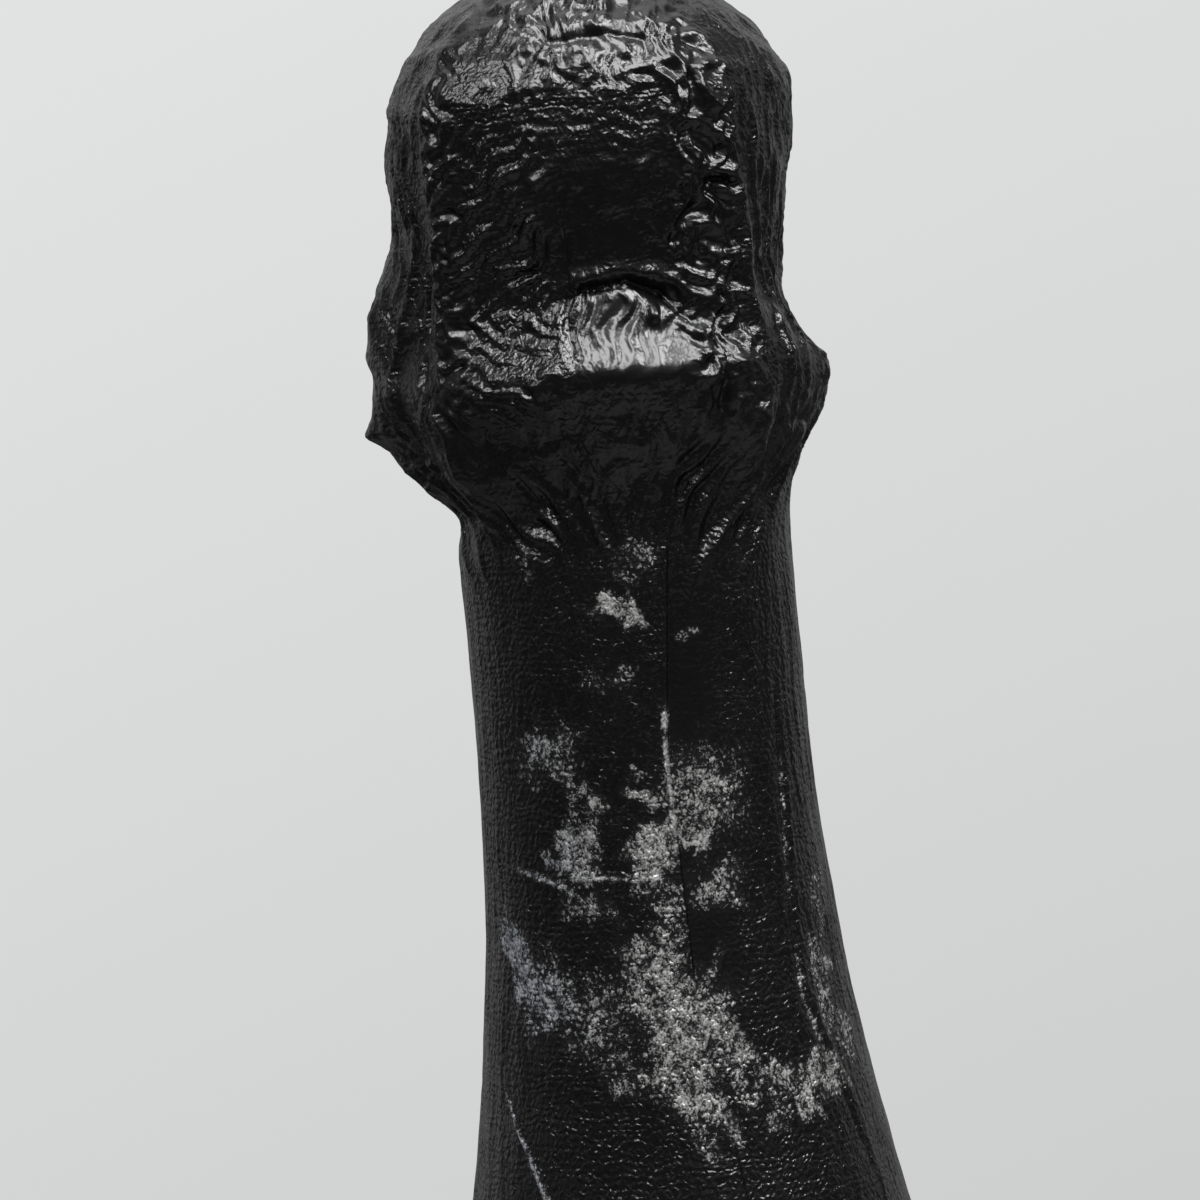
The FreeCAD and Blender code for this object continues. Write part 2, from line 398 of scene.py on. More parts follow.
class Tree:
    """A node tree being wired."""

    def __init__(self, owner: Any) -> None:
        """Empties an owner's node tree.

        Args:
            owner: A material or a world.
        """
        owner.use_nodes = True
        self.tree = owner.node_tree
        self.tree.nodes.clear()

    def node(self, kind: str, settings: dict[str, Any], inputs: dict[Any, Any]) -> Any:
        """Adds a node.

        Args:
            kind: The node's type.
            settings: Its own settings, made first.
            inputs: Values or links of its sockets, by name or number.

        Returns:
            The node.
        """
        made = self.tree.nodes.new(kind)
        for key, value in settings.items():
            setattr(made, key, value)
        for key, value in inputs.items():
            if isinstance(value, Shade):
                value = value.socket
            if isinstance(value, bpy.types.NodeSocket):
                self.tree.links.new(value, made.inputs[key])
            else:
                made.inputs[key].default_value = value
        return made

    def value(
        self, kind: str, settings: dict[str, Any], inputs: dict[Any, Any], out: Any = 0
    ) -> Shade:
        """Adds a node, as node does, and wraps one of its outputs."""
        return Shade(self, self.node(kind, settings, inputs).outputs[out])

    def place(self) -> Any:
        """Object coordinates, in metres."""
        return self.node("ShaderNodeTexCoord", {}, {}).outputs["Object"]

    def sheet_place(self) -> tuple[Shade, Shade]:
        """A sheet's own texture places.

        Returns:
            Millimetres along the sheet and millimetres up it.
        """
        made = self.node("ShaderNodeUVMap", {"uv_map": "UVMap"}, {})
        across, up, _ = self.split(made.outputs[0])
        return across, up

    def mark(self, name: str) -> Shade:
        """A piece's own attribute."""
        return self.value("ShaderNodeAttribute", {"attribute_name": name}, {}, "Fac")

    def split(self, vector: Any) -> tuple[Shade, Shade, Shade]:
        """The three parts of a vector."""
        made = self.node("ShaderNodeSeparateXYZ", {}, {0: vector})
        return tuple(Shade(self, out) for out in made.outputs)

    def joined(self, x: Any, y: Any, z: Any = 0.0) -> Any:
        """A vector of three values."""
        return self.node("ShaderNodeCombineXYZ", {}, {0: x, 1: y, 2: z}).outputs[0]

    def stretched(self, vector: Any, x: float, y: float, z: float) -> Any:
        """A vector times a fixed amount on each axis."""
        settings = {"operation": "MULTIPLY"}
        return self.node("ShaderNodeVectorMath", settings, {0: vector, 1: (x, y, z)}).outputs[0]

    def noise(self, vector: Any, scale: float, detail: float = 2.0, rough: float = 0.5) -> Shade:
        """Cloudy noise from 0 to 1.

        Args:
            vector: Where to read it.
            scale: Clouds to a unit.
            detail: Octaves on top of the first.
            rough: Strength of each further octave.

        Returns:
            The noise.
        """
        inputs = {"Vector": vector, "Scale": scale, "Detail": detail, "Roughness": rough}
        return self.value("ShaderNodeTexNoise", {}, inputs, 0)

    def mix(self, share: Any, first: Any, second: Any) -> Any:
        """A colour between two.

        Args:
            share: 0 for the first, 1 for the second.
            first: A colour or a colour socket.
            second: A colour or a colour socket.

        Returns:
            The mixed colour's socket.
        """
        made = self.tree.nodes.new("ShaderNodeMix")
        made.data_type = "RGBA"
        ends = {"Factor_Float": share, "A_Color": first, "B_Color": second}
        for socket in made.inputs:
            if socket.identifier in ends:
                value = ends[socket.identifier]
                if isinstance(value, Shade):
                    value = value.socket
                if isinstance(value, bpy.types.NodeSocket):
                    self.tree.links.new(value, socket)
                else:
                    socket.default_value = value
        return [out for out in made.outputs if out.identifier == "Result_Color"][0]

    def bump(self, height: Shade, distance: float, under: Any = None) -> Any:
        """A normal from a height of 0 to 1.

        Args:
            height: The height.
            distance: How many metres a height of 1 is.
            under: A normal to bump further, if any.

        Returns:
            The normal's socket.
        """
        inputs = {"Strength": 1.0, "Distance": distance, "Height": height}
        if under is not None:
            inputs["Normal"] = under
        return self.node("ShaderNodeBump", {}, inputs).outputs[0]

    def rgb(self, red: Shade, green: Shade, blue: Shade) -> Any:
        """A colour's socket from its three parts."""
        return self.node("ShaderNodeCombineColor", {}, {0: red, 1: green, 2: blue}).outputs[0]

    def principled(self, inputs: dict[str, Any]) -> Any:
        """A Principled shader's socket."""
        return self.node("ShaderNodeBsdfPrincipled", {}, inputs).outputs[0]

    def blend(self, share: Any, first: Any, second: Any) -> Any:
        """A shader between two, by a share of the second."""
        return self.node("ShaderNodeMixShader", {}, {0: share, 1: first, 2: second}).outputs[0]

    def surface(self, shader: Any, inside: tuple[Colour, float] | None = None) -> None:
        """Wires a shader to a material's output.

        Args:
            shader: The shader's socket.
            inside: Tint and density of a clear solid's inside, or None.
        """
        inputs = {"Surface": shader}
        if inside is not None:
            soaks_up = {"Color": inside[0], "Density": inside[1]}
            inputs["Volume"] = self.node("ShaderNodeVolumeAbsorption", {}, soaks_up).outputs[0]
        self.node("ShaderNodeOutputMaterial", {}, inputs)


def colour(red: float, green: float, blue: float) -> Colour:
    """A linear colour with full alpha."""
    return (red, green, blue, 1.0)


def dress(piece: bpy.types.Object, material: bpy.types.Material, slot: Slot, *nodes: str) -> None:
    """Gives a piece its material and body, and hides the CAD nodes it stands for.

    Args:
        piece: The finished object.
        material: Its finish.
        slot: The record's slot for it; not used.
        nodes: CAD nodes that it replaces.
    """
    piece.data.materials.append(material)
    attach(piece, "root")
    if nodes:
        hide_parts(*nodes)
    MeshKit.report(piece)


# ---- finishes -------------------------------------------------------------------------------


@dataclass(frozen=True)
class FoilFinish:
    """Black lacquer over embossed aluminium foil, rubbed to bare metal where the piece says; some
    bare lines along creases are painted glints.

    The emboss is rows of round pebbles: cosines along the three directions of a staggered lattice,
    bent by noise, and broken up by a leathery grain.  Texture places are millimetres along and up
    the sheet.

    Attributes:
        lacquer: The lacquer's darkest colour.
        lacquer_pale: Its palest.
        grime: What rubbing leaves on lacquer that isn't bare yet.
        metal_dark: The bare foil's darkest colour.
        metal: Its palest.
        metal_painted_blue_sheen: Its colour on the left side, where a bluish sheen is painted.
        spacing: Pebble to pebble along a row, in millimetres.
        row: Row to row, in millimetres.
        depth: Height of a pebble, in metres.
        gloss: Roughness of the lacquer.
    """

    lacquer: Colour = colour(0.0022, 0.0022, 0.0025)
    lacquer_pale: Colour = colour(0.0045, 0.0045, 0.0048)
    grime: Colour = colour(0.06, 0.06, 0.058)
    metal_dark: Colour = colour(0.11, 0.11, 0.108)
    metal: Colour = colour(0.60, 0.60, 0.585)
    metal_painted_blue_sheen: Colour = colour(0.40, 0.46, 0.60)
    spacing: float = 0.66
    row: float = 0.58
    depth: float = 0.0001
    gloss: float = 0.17

    def pebbles(self, tree: Tree, across: Shade, up: Shade, place: Any) -> Shade:
        """The emboss as a height from about 0 to 1.

        Args:
            tree: The tree to add to.
            across: Millimetres along the sheet.
            up: Millimetres up the sheet.
            place: Object coordinates.

        Returns:
            The height.
        """
        inputs = {"Vector": place, "Scale": 1100.0, "Detail": 2.0}
        bend = tree.node("ShaderNodeTexNoise", {}, inputs)
        bend_x, bend_y, swell = tree.split(bend.outputs["Color"])
        drift = tree.noise(place, 260.0, 1.0)
        across = across + (bend_x - 0.5) * 1.3
        up = up + (bend_y - 0.5) * 0.9 + (drift - 0.5) * 1.6
        first = across * (math.tau / self.spacing) - up * (math.pi / self.row)
        second = up * (math.tau / self.row)
        rounds = (first.cos() + second.cos() + (first + second).cos() + 1.5) / 4.5
        inputs = {"Vector": tree.joined(across, up), "Scale": 1.5, "Randomness": 0.85}
        cells = tree.value("ShaderNodeTexVoronoi", {"voronoi_dimensions": "2D"}, inputs, "Distance")
        leather = 1.0 - cells * 1.6
        return (rounds * 0.5 + leather * 0.5) * (0.3 + 1.4 * swell)

    def make(self) -> bpy.types.Material:
        """Builds the material.

        Returns:
            The material.
        """
        made = bpy.data.materials.new("foil")
        tree = Tree(made)
        place = tree.place()
        pebbles = self.pebbles(tree, *tree.sheet_place(), place)
        wear_and_glints, grain, seam = tree.mark("wear_and_glints"), tree.mark("grain"), tree.mark("seam")
        flecks = tree.noise(place, 5600.0, 3.0, 0.7)
        patches = tree.noise(place, 700.0, 3.0, 0.6)
        rubbed = wear_and_glints + (flecks - 0.5) * 1.7 + (patches - 0.5) * 1.4 + (pebbles - 0.45) * 0.8
        # Bare metal where the lacquer is rubbed off, and thin bare lines on creases that are partly
        # a painted glint.
        bare = rubbed.step(0.26, 0.98) * wear_and_glints.step(0.03, 0.3)
        dull = tree.noise(place, 60.0, 3.0)
        tone = tree.mix(dull, self.lacquer, self.lacquer_pale)
        tone = tree.mix(wear_and_glints * 0.5 * patches, tone, self.grime)
        bright = (flecks * 1.6 - 0.3 + (patches - 0.5) * 1.2).step(0.1, 0.9)
        shine = tree.mix(bright, self.metal_dark, self.metal)
        x, _, z = tree.split(place)
        # Painted reflection: bare metal on the left side is tinted towards a bluish sheen.
        shine = tree.mix((0.0 - x).step(0.004, 0.013) * 0.35, shine, self.metal_painted_blue_sheen)
        crinkle = tree.noise(place, 3400.0, 2.0, 0.6)
        ledge = 1.0 - (seam + (patches - 0.5) * 0.35).step(-0.08, 0.08)
        ledge = ledge * (1.0 - z.step(0.268, 0.273))
        height = pebbles * grain + crinkle * 0.07 + ledge * 1.6
        shader = tree.principled({
            "Base Color": tree.mix(bare, tone, shine),
            "Metallic": bare * 0.45,
            "Roughness": self.gloss + dull * 0.14 + bare * 0.26,
            "Specular IOR Level": 0.72,
            "Normal": tree.bump(height, self.depth),
        })
        tree.surface(shader)
        return made


@dataclass(frozen=True)
class GlassFinish:
    """Dark green bottle glass that tints by depth.

    Attributes:
        tint: Colour that is left after passing through.
        density: How strongly it tints, to a metre.
    """

    tint: Colour = colour(0.30, 0.52, 0.16)
    density: float = 760.0

    def make(self) -> bpy.types.Material:
        """Builds the material.

        Returns:
            The material.
        """
        made = bpy.data.materials.new("bottle_glass")
        tree = Tree(made)
        place = tree.place()
        waves = tree.noise(tree.stretched(place, 1.0, 1.0, 0.5), 45.0, 2.0)
        dust = tree.noise(place, 700.0, 3.0, 0.6).step(0.55, 0.8)
        shader = tree.principled({
            "Base Color": colour(1.0, 1.0, 1.0),
            "Roughness": 0.015 + dust * 0.03,
            "IOR": 1.52,
            "Transmission Weight": 1.0,
            "Normal": tree.bump(waves, 0.0002),
        })
        tree.surface(shader, (self.tint, self.density))
        return made


@dataclass(frozen=True)
class WineFinish:
    """Pale straw-coloured wine.

    Attributes:
        tint: Colour that is left after passing through.
        density: How strongly it tints, to a metre.
    """

    tint: Colour = colour(0.86, 0.78, 0.42)
    density: float = 14.0

    def make(self) -> bpy.types.Material:
        """Builds the material.

        Returns:
            The material.
        """
        made = bpy.data.materials.new("wine")
        tree = Tree(made)
        haze = tree.noise(tree.place(), 80.0, 1.0)
        shader = tree.principled({
            "Base Color": colour(1.0, 1.0, 1.0),
            "Roughness": haze * 0.01,
            "IOR": 1.345,
            "Transmission Weight": 1.0,
        })
        tree.surface(shader, (self.tint, self.density))
        return made


@dataclass(frozen=True)
class PaperFinish:
    """Off-white label paper with a printed frame and band and no words.

    Texture places are millimetres from the label's middle.

    Attributes:
        name: The material's name.
        half_width: Half the label's width, in millimetres.
        half_height: Half its height, in millimetres.
        band: Lowest and highest place of the dark band, in millimetres from the middle.
        margin: From the band's ends to the label's sides, in millimetres.
        laid: From one laid line of the paper to the next, in millimetres.
    """

    name: str
    half_width: float
    half_height: float
    band: tuple[float, float]
    margin: float = 6.0
    laid: float = 0.9

    def box(self, across: Shade, up: Shade, inset: float, line: float) -> Shade:
        """A printed line round the label.

        Args:
            across: Millimetres from the middle, sideways.
            up: Millimetres from the middle, upwards.
            inset: How far in from the edge.
            line: Half its width.

        Returns:
            1 on the line and 0 off it.
        """
        beside = across.size() - (self.half_width - inset)
        over = up.size() - (self.half_height - inset)
        return 1.0 - beside.most(over).size().step(line, line + 0.06)

    def make(self) -> bpy.types.Material:
        """Builds the material.

        Returns:
            The material.
        """
        made = bpy.data.materials.new(self.name)
        tree = Tree(made)
        place = tree.place()
        across, up = tree.sheet_place()
        fibre = tree.noise(tree.joined(across, up * 2.5), 1.6, 5.0, 0.65)
        laid = (up * (math.tau / self.laid)).cos() * 0.5 + 0.5
        paper = tree.mix(fibre, colour(0.70, 0.66, 0.56), colour(0.83, 0.80, 0.71))
        low, high = ((up - end).step(-0.05, 0.05) for end in self.band)
        ends = (across.size() - (self.half_width - self.margin)).step(-0.05, 0.05)
        bar = low * (1.0 - high) * (1.0 - ends)
        ink = tree.mix(fibre, colour(0.018, 0.02, 0.018), colour(0.035, 0.036, 0.033))
        lines = self.box(across, up, 3.0, 0.35).most(self.box(across, up, 4.2, 0.12))
        gold = tree.mix(fibre, colour(0.42, 0.30, 0.12), colour(0.56, 0.42, 0.19))
        printed = tree.mix(lines, tree.mix(bar, paper, ink), gold)
        rub = tree.noise(place, 500.0, 3.0, 0.7).step(0.62, 0.75) * 0.35
        shader = tree.principled({
            "Base Color": tree.mix(rub, printed, paper),
            "Metallic": lines * 0.55,
            "Roughness": 0.78 - lines * 0.38 + fibre * 0.08,
            "Normal": tree.bump(fibre * 0.7 + laid * 0.3, 0.00005),
        })
        tree.surface(shader)
        return made


# ---- the bottle's outline -------------------------------------------------------------------


@dataclass(frozen=True)
class Outline:
    """The glass's sizes in millimetres, and its radius at a height.

    Attributes:
        body: Radius of the straight side.
        mouth: Height of the mouth.
        body_top: Top of the straight side.
        shoulder: Radius of the shoulder's convex arc.
        neck: Radius of the neck.
        neck_length: Length of the straight neck.
        heel: Radius of the heel.
        rest: Width of the ring that it stands on.
        punt: Height of the punt.
        ring: How far the ring under the mouth stands out.
        ring_top: Top of that ring.
        ring_foot: Foot of that ring.
        wall: Thickness of the glass.
        base: Thickness of the glass under the wine.
        punt_narrower: How much narrower the punt's foot is inside than outside.
        punt_taller: How much taller the punt is inside than outside.
        corner: Radius of the inside's lower corner.
        bore: Radius inside the neck.
        lip: Radius of the mouth's rounded edges.
        bore_top: Depth under the mouth to which the bore stays straight.
        bore_foot: Depth under the mouth where the inside has opened out.
        fill: Height of the wine.
    """

    body: float
    mouth: float
    body_top: float = 124.0
    shoulder: float = 88.0
    neck: float = 14.35
    neck_length: float = 43.0
    heel: float = 8.0
    rest: float = 3.5
    punt: float = 29.0
    ring: float = 1.15
    ring_top: float = 289.0
    ring_foot: float = 284.0
    wall: float = 3.6
    base: float = 5.5
    punt_narrower: float = 1.5
    punt_taller: float = 0.5
    corner: float = 9.0
    bore: float = 9.4
    lip: float = 1.0
    bore_top: float = 50.0
    bore_foot: float = 90.0
    fill: float = 243.0

    @property
    def stand(self) -> float:
        """Inner radius of the ring that it stands on."""
        return self.body - self.heel - self.rest

    def radius(self, height: Array) -> Array:
        """Radius of the outside from the straight side up to the mouth.

        The shoulder is a convex and a hollow arc with one tangent: each leaves its straight by
        R - sqrt(R^2 - rise^2).

        Args:
            height: Heights in millimetres.

        Returns:
            The radius at each height.
        """
        z = np.asarray(height, float)
        foot = self.mouth - self.neck_length
        rise, run = foot - self.body_top, self.body - self.neck
        turn = 2.0 * math.atan2(run, rise)
        hollow = rise / math.sin(turn) - self.shoulder
        bend = self.body_top + self.shoulder * math.sin(turn)
        up = np.clip(z - self.body_top, 0.0, self.shoulder * math.sin(turn))
        convex = self.body - self.shoulder + np.sqrt(self.shoulder**2 - up**2)
        down = np.clip(foot - z, 0.0, hollow * math.sin(turn))
        concave = self.neck + hollow - np.sqrt(hollow**2 - down**2)
        return np.where(z < bend, convex, concave)


@dataclass
class GlassBottle:
    """The glass and the wine in it.

    Attributes:
        outline: The glass's sizes.
        columns: Points round the axis.
        waves: Height of the slight waves and mould seams of pressed glass.
        film: How far the wine reaches into the glass, so that no gap shows between them.
    """

    outline: Outline
    columns: int = 224
    waves: float = 0.06
    film: float = 0.12

    def arc(
        self, middle: tuple[float, float], radius: float, start: float, end: float, count: int
    ) -> Array:
        """Points (radius, height) along a round stretch, without its last point.

        Args:
            middle: The arc's middle.
            radius: Its radius.
            start: First angle in degrees, from outwards to upwards.
            end: Last angle.
            count: Number of points.

        Returns:
            The points, shaped (count, 2).
        """
        angle = np.radians(np.linspace(start, end, count, endpoint=False))
        return np.array(middle) + radius * np.stack([np.cos(angle), np.sin(angle)], 1)

    def dome(self, foot: float, top: float, count: int, start: float = 0.0) -> Array:
        """Points (radius, height) of a round dome over the base, from its foot to near its top.

        Args:
            foot: Radius at the foot.
            top: Height of the dome over its foot.
            count: Number of points.
            start: Height of the foot.

        Returns:
            The points, shaped (count, 2).
        """
        radius = (foot**2 + top**2) / (2.0 * top)
        middle = start + top - radius
        first = math.degrees(math.atan2(start - middle, foot))
        return self.arc((0.0, middle), radius, first, 90.0, count)

    def outside(self) -> Array:
        """The outer profile from the mouth down to the punt's top, as (radius, height).

        Returns:
            The points from top to bottom.
        """
        o = self.outline
        neck = np.linspace(o.mouth - o.lip, o.body_top, 150)
        side = np.linspace(o.body_top, o.heel, 24)[1:-1]
        off = 2.0 * (neck - o.ring_foot) / (o.ring_top - o.ring_foot) - 1.0
        ring = np.sqrt(np.clip(1.0 - off**2, 0.0, 1.0))
        wall = np.stack([o.radius(neck) + o.ring * ring, neck], 1)
        straight = np.stack([np.full_like(side, o.body), side], 1)
        heel = self.arc((o.body - o.heel, o.heel), o.heel, 0.0, -90.0, 18)
        rest = np.array([[o.body - o.heel, 0.0], [o.stand, 0.0]])
        return np.vstack([wall, straight, heel, rest, self.dome(o.stand, o.punt, 40)])

    def inside(self, grow: float = 0.0) -> Array:
        """The inner profile from over the punt out and up to the mouth, as (radius, height).

        Args:
            grow: How far it is moved into the glass.

        Returns:
            The points from bottom to top.
        """
        o = self.outline
        wall, base, bore = o.wall - grow, o.base - grow, o.bore + grow
        foot = o.stand - o.punt_narrower + grow
        punt = self.dome(foot, o.punt + o.punt_taller, 40, base)[::-1]
        middle = (o.body - wall - o.corner, base + o.corner)
        heel = self.arc(middle, o.corner, -90.0, 0.0, 14)
        z = np.linspace(middle[1], o.mouth - o.lip, 120)
        reach = np.minimum(o.radius(z), o.body) - wall
        neck = np.maximum(reach, bore)
        opened = smooth(o.mouth - o.bore_top, o.mouth - o.bore_foot, z)
        radius = bore + (neck - bore) * opened
        return np.vstack([punt, heel, np.stack([radius, z], 1)])

    def lathe(self, profile: Array, waves: float = 0.0) -> Array:
        """A profile turned round the axis.

        Args:
            profile: Points (radius, height).
            waves: Height of its waves, strongest on the two mould seams at the sides.

        Returns:
            The grid, shaped (rows, columns, 3).
        """
        bearing = np.linspace(0.0, 360.0, self.columns, endpoint=False)[None, :]
        radius, z = profile[:, :1], profile[:, 1:]
        turn = np.radians(bearing)
        grid = around(turn, radius, z)
        seams = facing(bearing, 90.0, 0.7) + facing(bearing, -90.0, 0.7)
        swell = Noise(5).at(grid, 34.0) + 0.6 * seams * smooth(4.0, 12.0, z)
        push(grid, turn, waves * swell * smooth(1.0, 6.0, z))
        return grid

    def build(self) -> list[bpy.types.Object]:
        """Builds and dresses the glass and the wine.

        Returns:
            Both objects.
        """
        o = self.outline
        edge = o.mouth - o.lip
        lip_out = self.arc((o.neck - o.lip, edge), o.lip, 0.0, 90.0, 6)[::-1]
        lip_in = self.arc((o.bore + o.lip, edge), o.lip, 90.0, 180.0, 6)[::-1]
        hidden = self.lathe(np.vstack([self.inside(), lip_in, lip_out]))
        grid = np.vstack([hidden, self.lathe(self.outside(), self.waves)])
        floor_in = o.base + o.punt + o.punt_taller
        sheet = Sheet(grid, poles=((0, 0, floor_in), (0, 0, o.punt)))
        glass = MeshKit.build("bottle_glass", sheet)
        dress(glass, GlassFinish().make(), Slot.GLASS, "glass_bottle")
        full = self.inside(self.film)[::-1]
        full = full[full[:, 1] < o.fill]
        skin = np.linspace(0.6, full[0, 0], 6)
        level = np.stack([skin, np.full_like(skin, o.fill)], 1)
        poles = ((0, 0, o.fill), (0, 0, floor_in - self.film))
        wine = MeshKit.build("wine", Sheet(self.lathe(np.vstack([level, full])), poles=poles))
        dress(wine, WineFinish().make(), Slot.GLASS)
        return [glass, wine]


# ---- the foil -------------------------------------------------------------------------------


@dataclass(frozen=True)
class Crease:
    """A raised or pressed line along the foil.

    Attributes:
        path: Its (bearing, height) points.
        rise: Height in millimetres, negative for a groove.
        width: Half-width in millimetres.
        peak: 2 is soft and 1 is sharp.
    """

    path: tuple[tuple[float, float], ...]
    rise: float
    width: float
    peak: float = 1.4

    def at(self, along: Array, z: Array, radius: float) -> Array:
        """Its height over the foil, a hump across the path that thins out at both ends.

        Args:
            along: Millimetres round the foil from the front.
            z: Heights.
            radius: Radius that turns bearings into millimetres.

        Returns:
            The height at each point.
        """
        points = np.array([(math.radians(b) * radius, h) for b, h in self.path])
        length = np.concatenate([[0.0], np.cumsum(np.linalg.norm(np.diff(points, axis=0), axis=1))])
        near = np.full(np.shape(z), np.inf)
        place = np.zeros(np.shape(z))
        for a, b, start in zip(points[:-1], points[1:], length[:-1]):
            step = b - a
            share = ((along - a[0]) * step[0] + (z - a[1]) * step[1]) / (step @ step)
            share = np.clip(share, 0.0, 1.0)
            gap = np.hypot(along - a[0] - share * step[0], z - a[1] - share * step[1])
            place = np.where(gap < near, start + share * math.sqrt(step @ step), place)
            near = np.minimum(gap, near)
        ends = band(place / length[-1], 0.0, 0.25, 0.75, 1.0)
        return self.rise * (0.25 + 0.75 * ends) * hump(near, self.width, self.peak)


@dataclass(frozen=True)
class Wrinkles:
    """A field of wrinkles in the foil.

    Attributes:
        bearing: Bearing of its middle.
        half_width: Half its width, in degrees.
        low: Its lowest height.
        high: Its highest height.
        lean: Direction of the wrinkles in degrees: 0 lies level and 90 stands upright.
        length: Length of a wrinkle, in millimetres.
        spacing: From one to the next, in millimetres.
        rise: Height of a wrinkle, in millimetres.
        seed: Draws them.
        fold: Whether they are waves or crushed facets.
    """

    bearing: float
    half_width: float
    low: float
    high: float
    lean: float
    length: float
    spacing: float
    rise: float
    seed: int
    fold: Fold = Fold.WAVES

    def at(self, grid: Array, along: Array, z: Array, radius: float) -> Array:
        """Its height over the foil.

        Waves are cosines across the lean whose phase and height drift with noise.  Crushed foil is
        folded noise, drawn out along the lean.

        Args:
            grid: The sheet's points.
            along: Millimetres round the foil from the front.
            z: Heights.
            radius: Radius that turns bearings into millimetres.

        Returns:
            The height at each point.
        """
        soft = 0.25 * (self.high - self.low)
        share = facing(np.degrees(along / radius), self.bearing, self.half_width, 4.0)
        share = share * band(z, self.low, self.low + soft, self.high - soft, self.high)
        turn = math.radians(self.lean)
        lengthwise = along * math.cos(turn) + z * math.sin(turn)
        crosswise = z * math.cos(turn) - along * math.sin(turn)
        bend = Noise(self.seed + 60).at(grid, 1.5 + self.length / 1.6)
        u, v = lengthwise / self.length, crosswise / self.spacing
        if self.fold is Fold.CRUSHED:
            places = np.stack([u, v + bend, 0.0 * z], -1)
            facets = Noise(self.seed).folds(places, 1.0)
            facets = facets + 0.5 * Noise(self.seed + 1).folds(places, 0.5)
            return self.rise * share * facets
        wave = (0.5 + 0.5 * np.cos(math.tau * (v + 0.9 * bend))) ** 1.3
        places = np.stack([u, v / 1.6, 0.0 * z], -1)
        patchy = np.clip(0.55 + 1.1 * Noise(self.seed + 80).at(places, 1.0), 0.0, 1.25)
        return self.rise * share * patchy * (wave - 0.35)


@dataclass(frozen=True)
class Rub:
    """A patch where the lacquer is rubbed through.

    Attributes:
        across: Its middle as seen from the front, in millimetres to the right.
        z: Its height.
        half_width: Half its width.
        half_height: Half its height.
        strength: 1 is bare metal and less is flecked.
        tilt: Turn of the patch in degrees.
        side: -1 if it ends at the seam and lies left of it, 1 if right, 0 if it runs over it.
    """

    across: float
    z: float
    half_width: float
    half_height: float
    strength: float
    tilt: float = 0.0
    side: int = 0

    def at(self, along: Array, z: Array, radius: float) -> Array:
        """Its strength over the foil, full in the middle and soft at the rim.

        Args:
            along: Millimetres round the foil from the front.
            z: Heights.
            radius: Radius of the foil there.

        Returns:
            The strength at each point.
        """
        middle = math.asin(np.clip(self.across / radius, -1.0, 1.0)) * radius
        turn = math.radians(self.tilt)
        dx, dz = along - middle, z - self.z
        u = (dx * math.cos(turn) + dz * math.sin(turn)) / self.half_width
        v = (dz * math.cos(turn) - dx * math.sin(turn)) / self.half_height
        return self.strength * (1.0 - smooth(0.35, 1.35, np.hypot(u, v)))


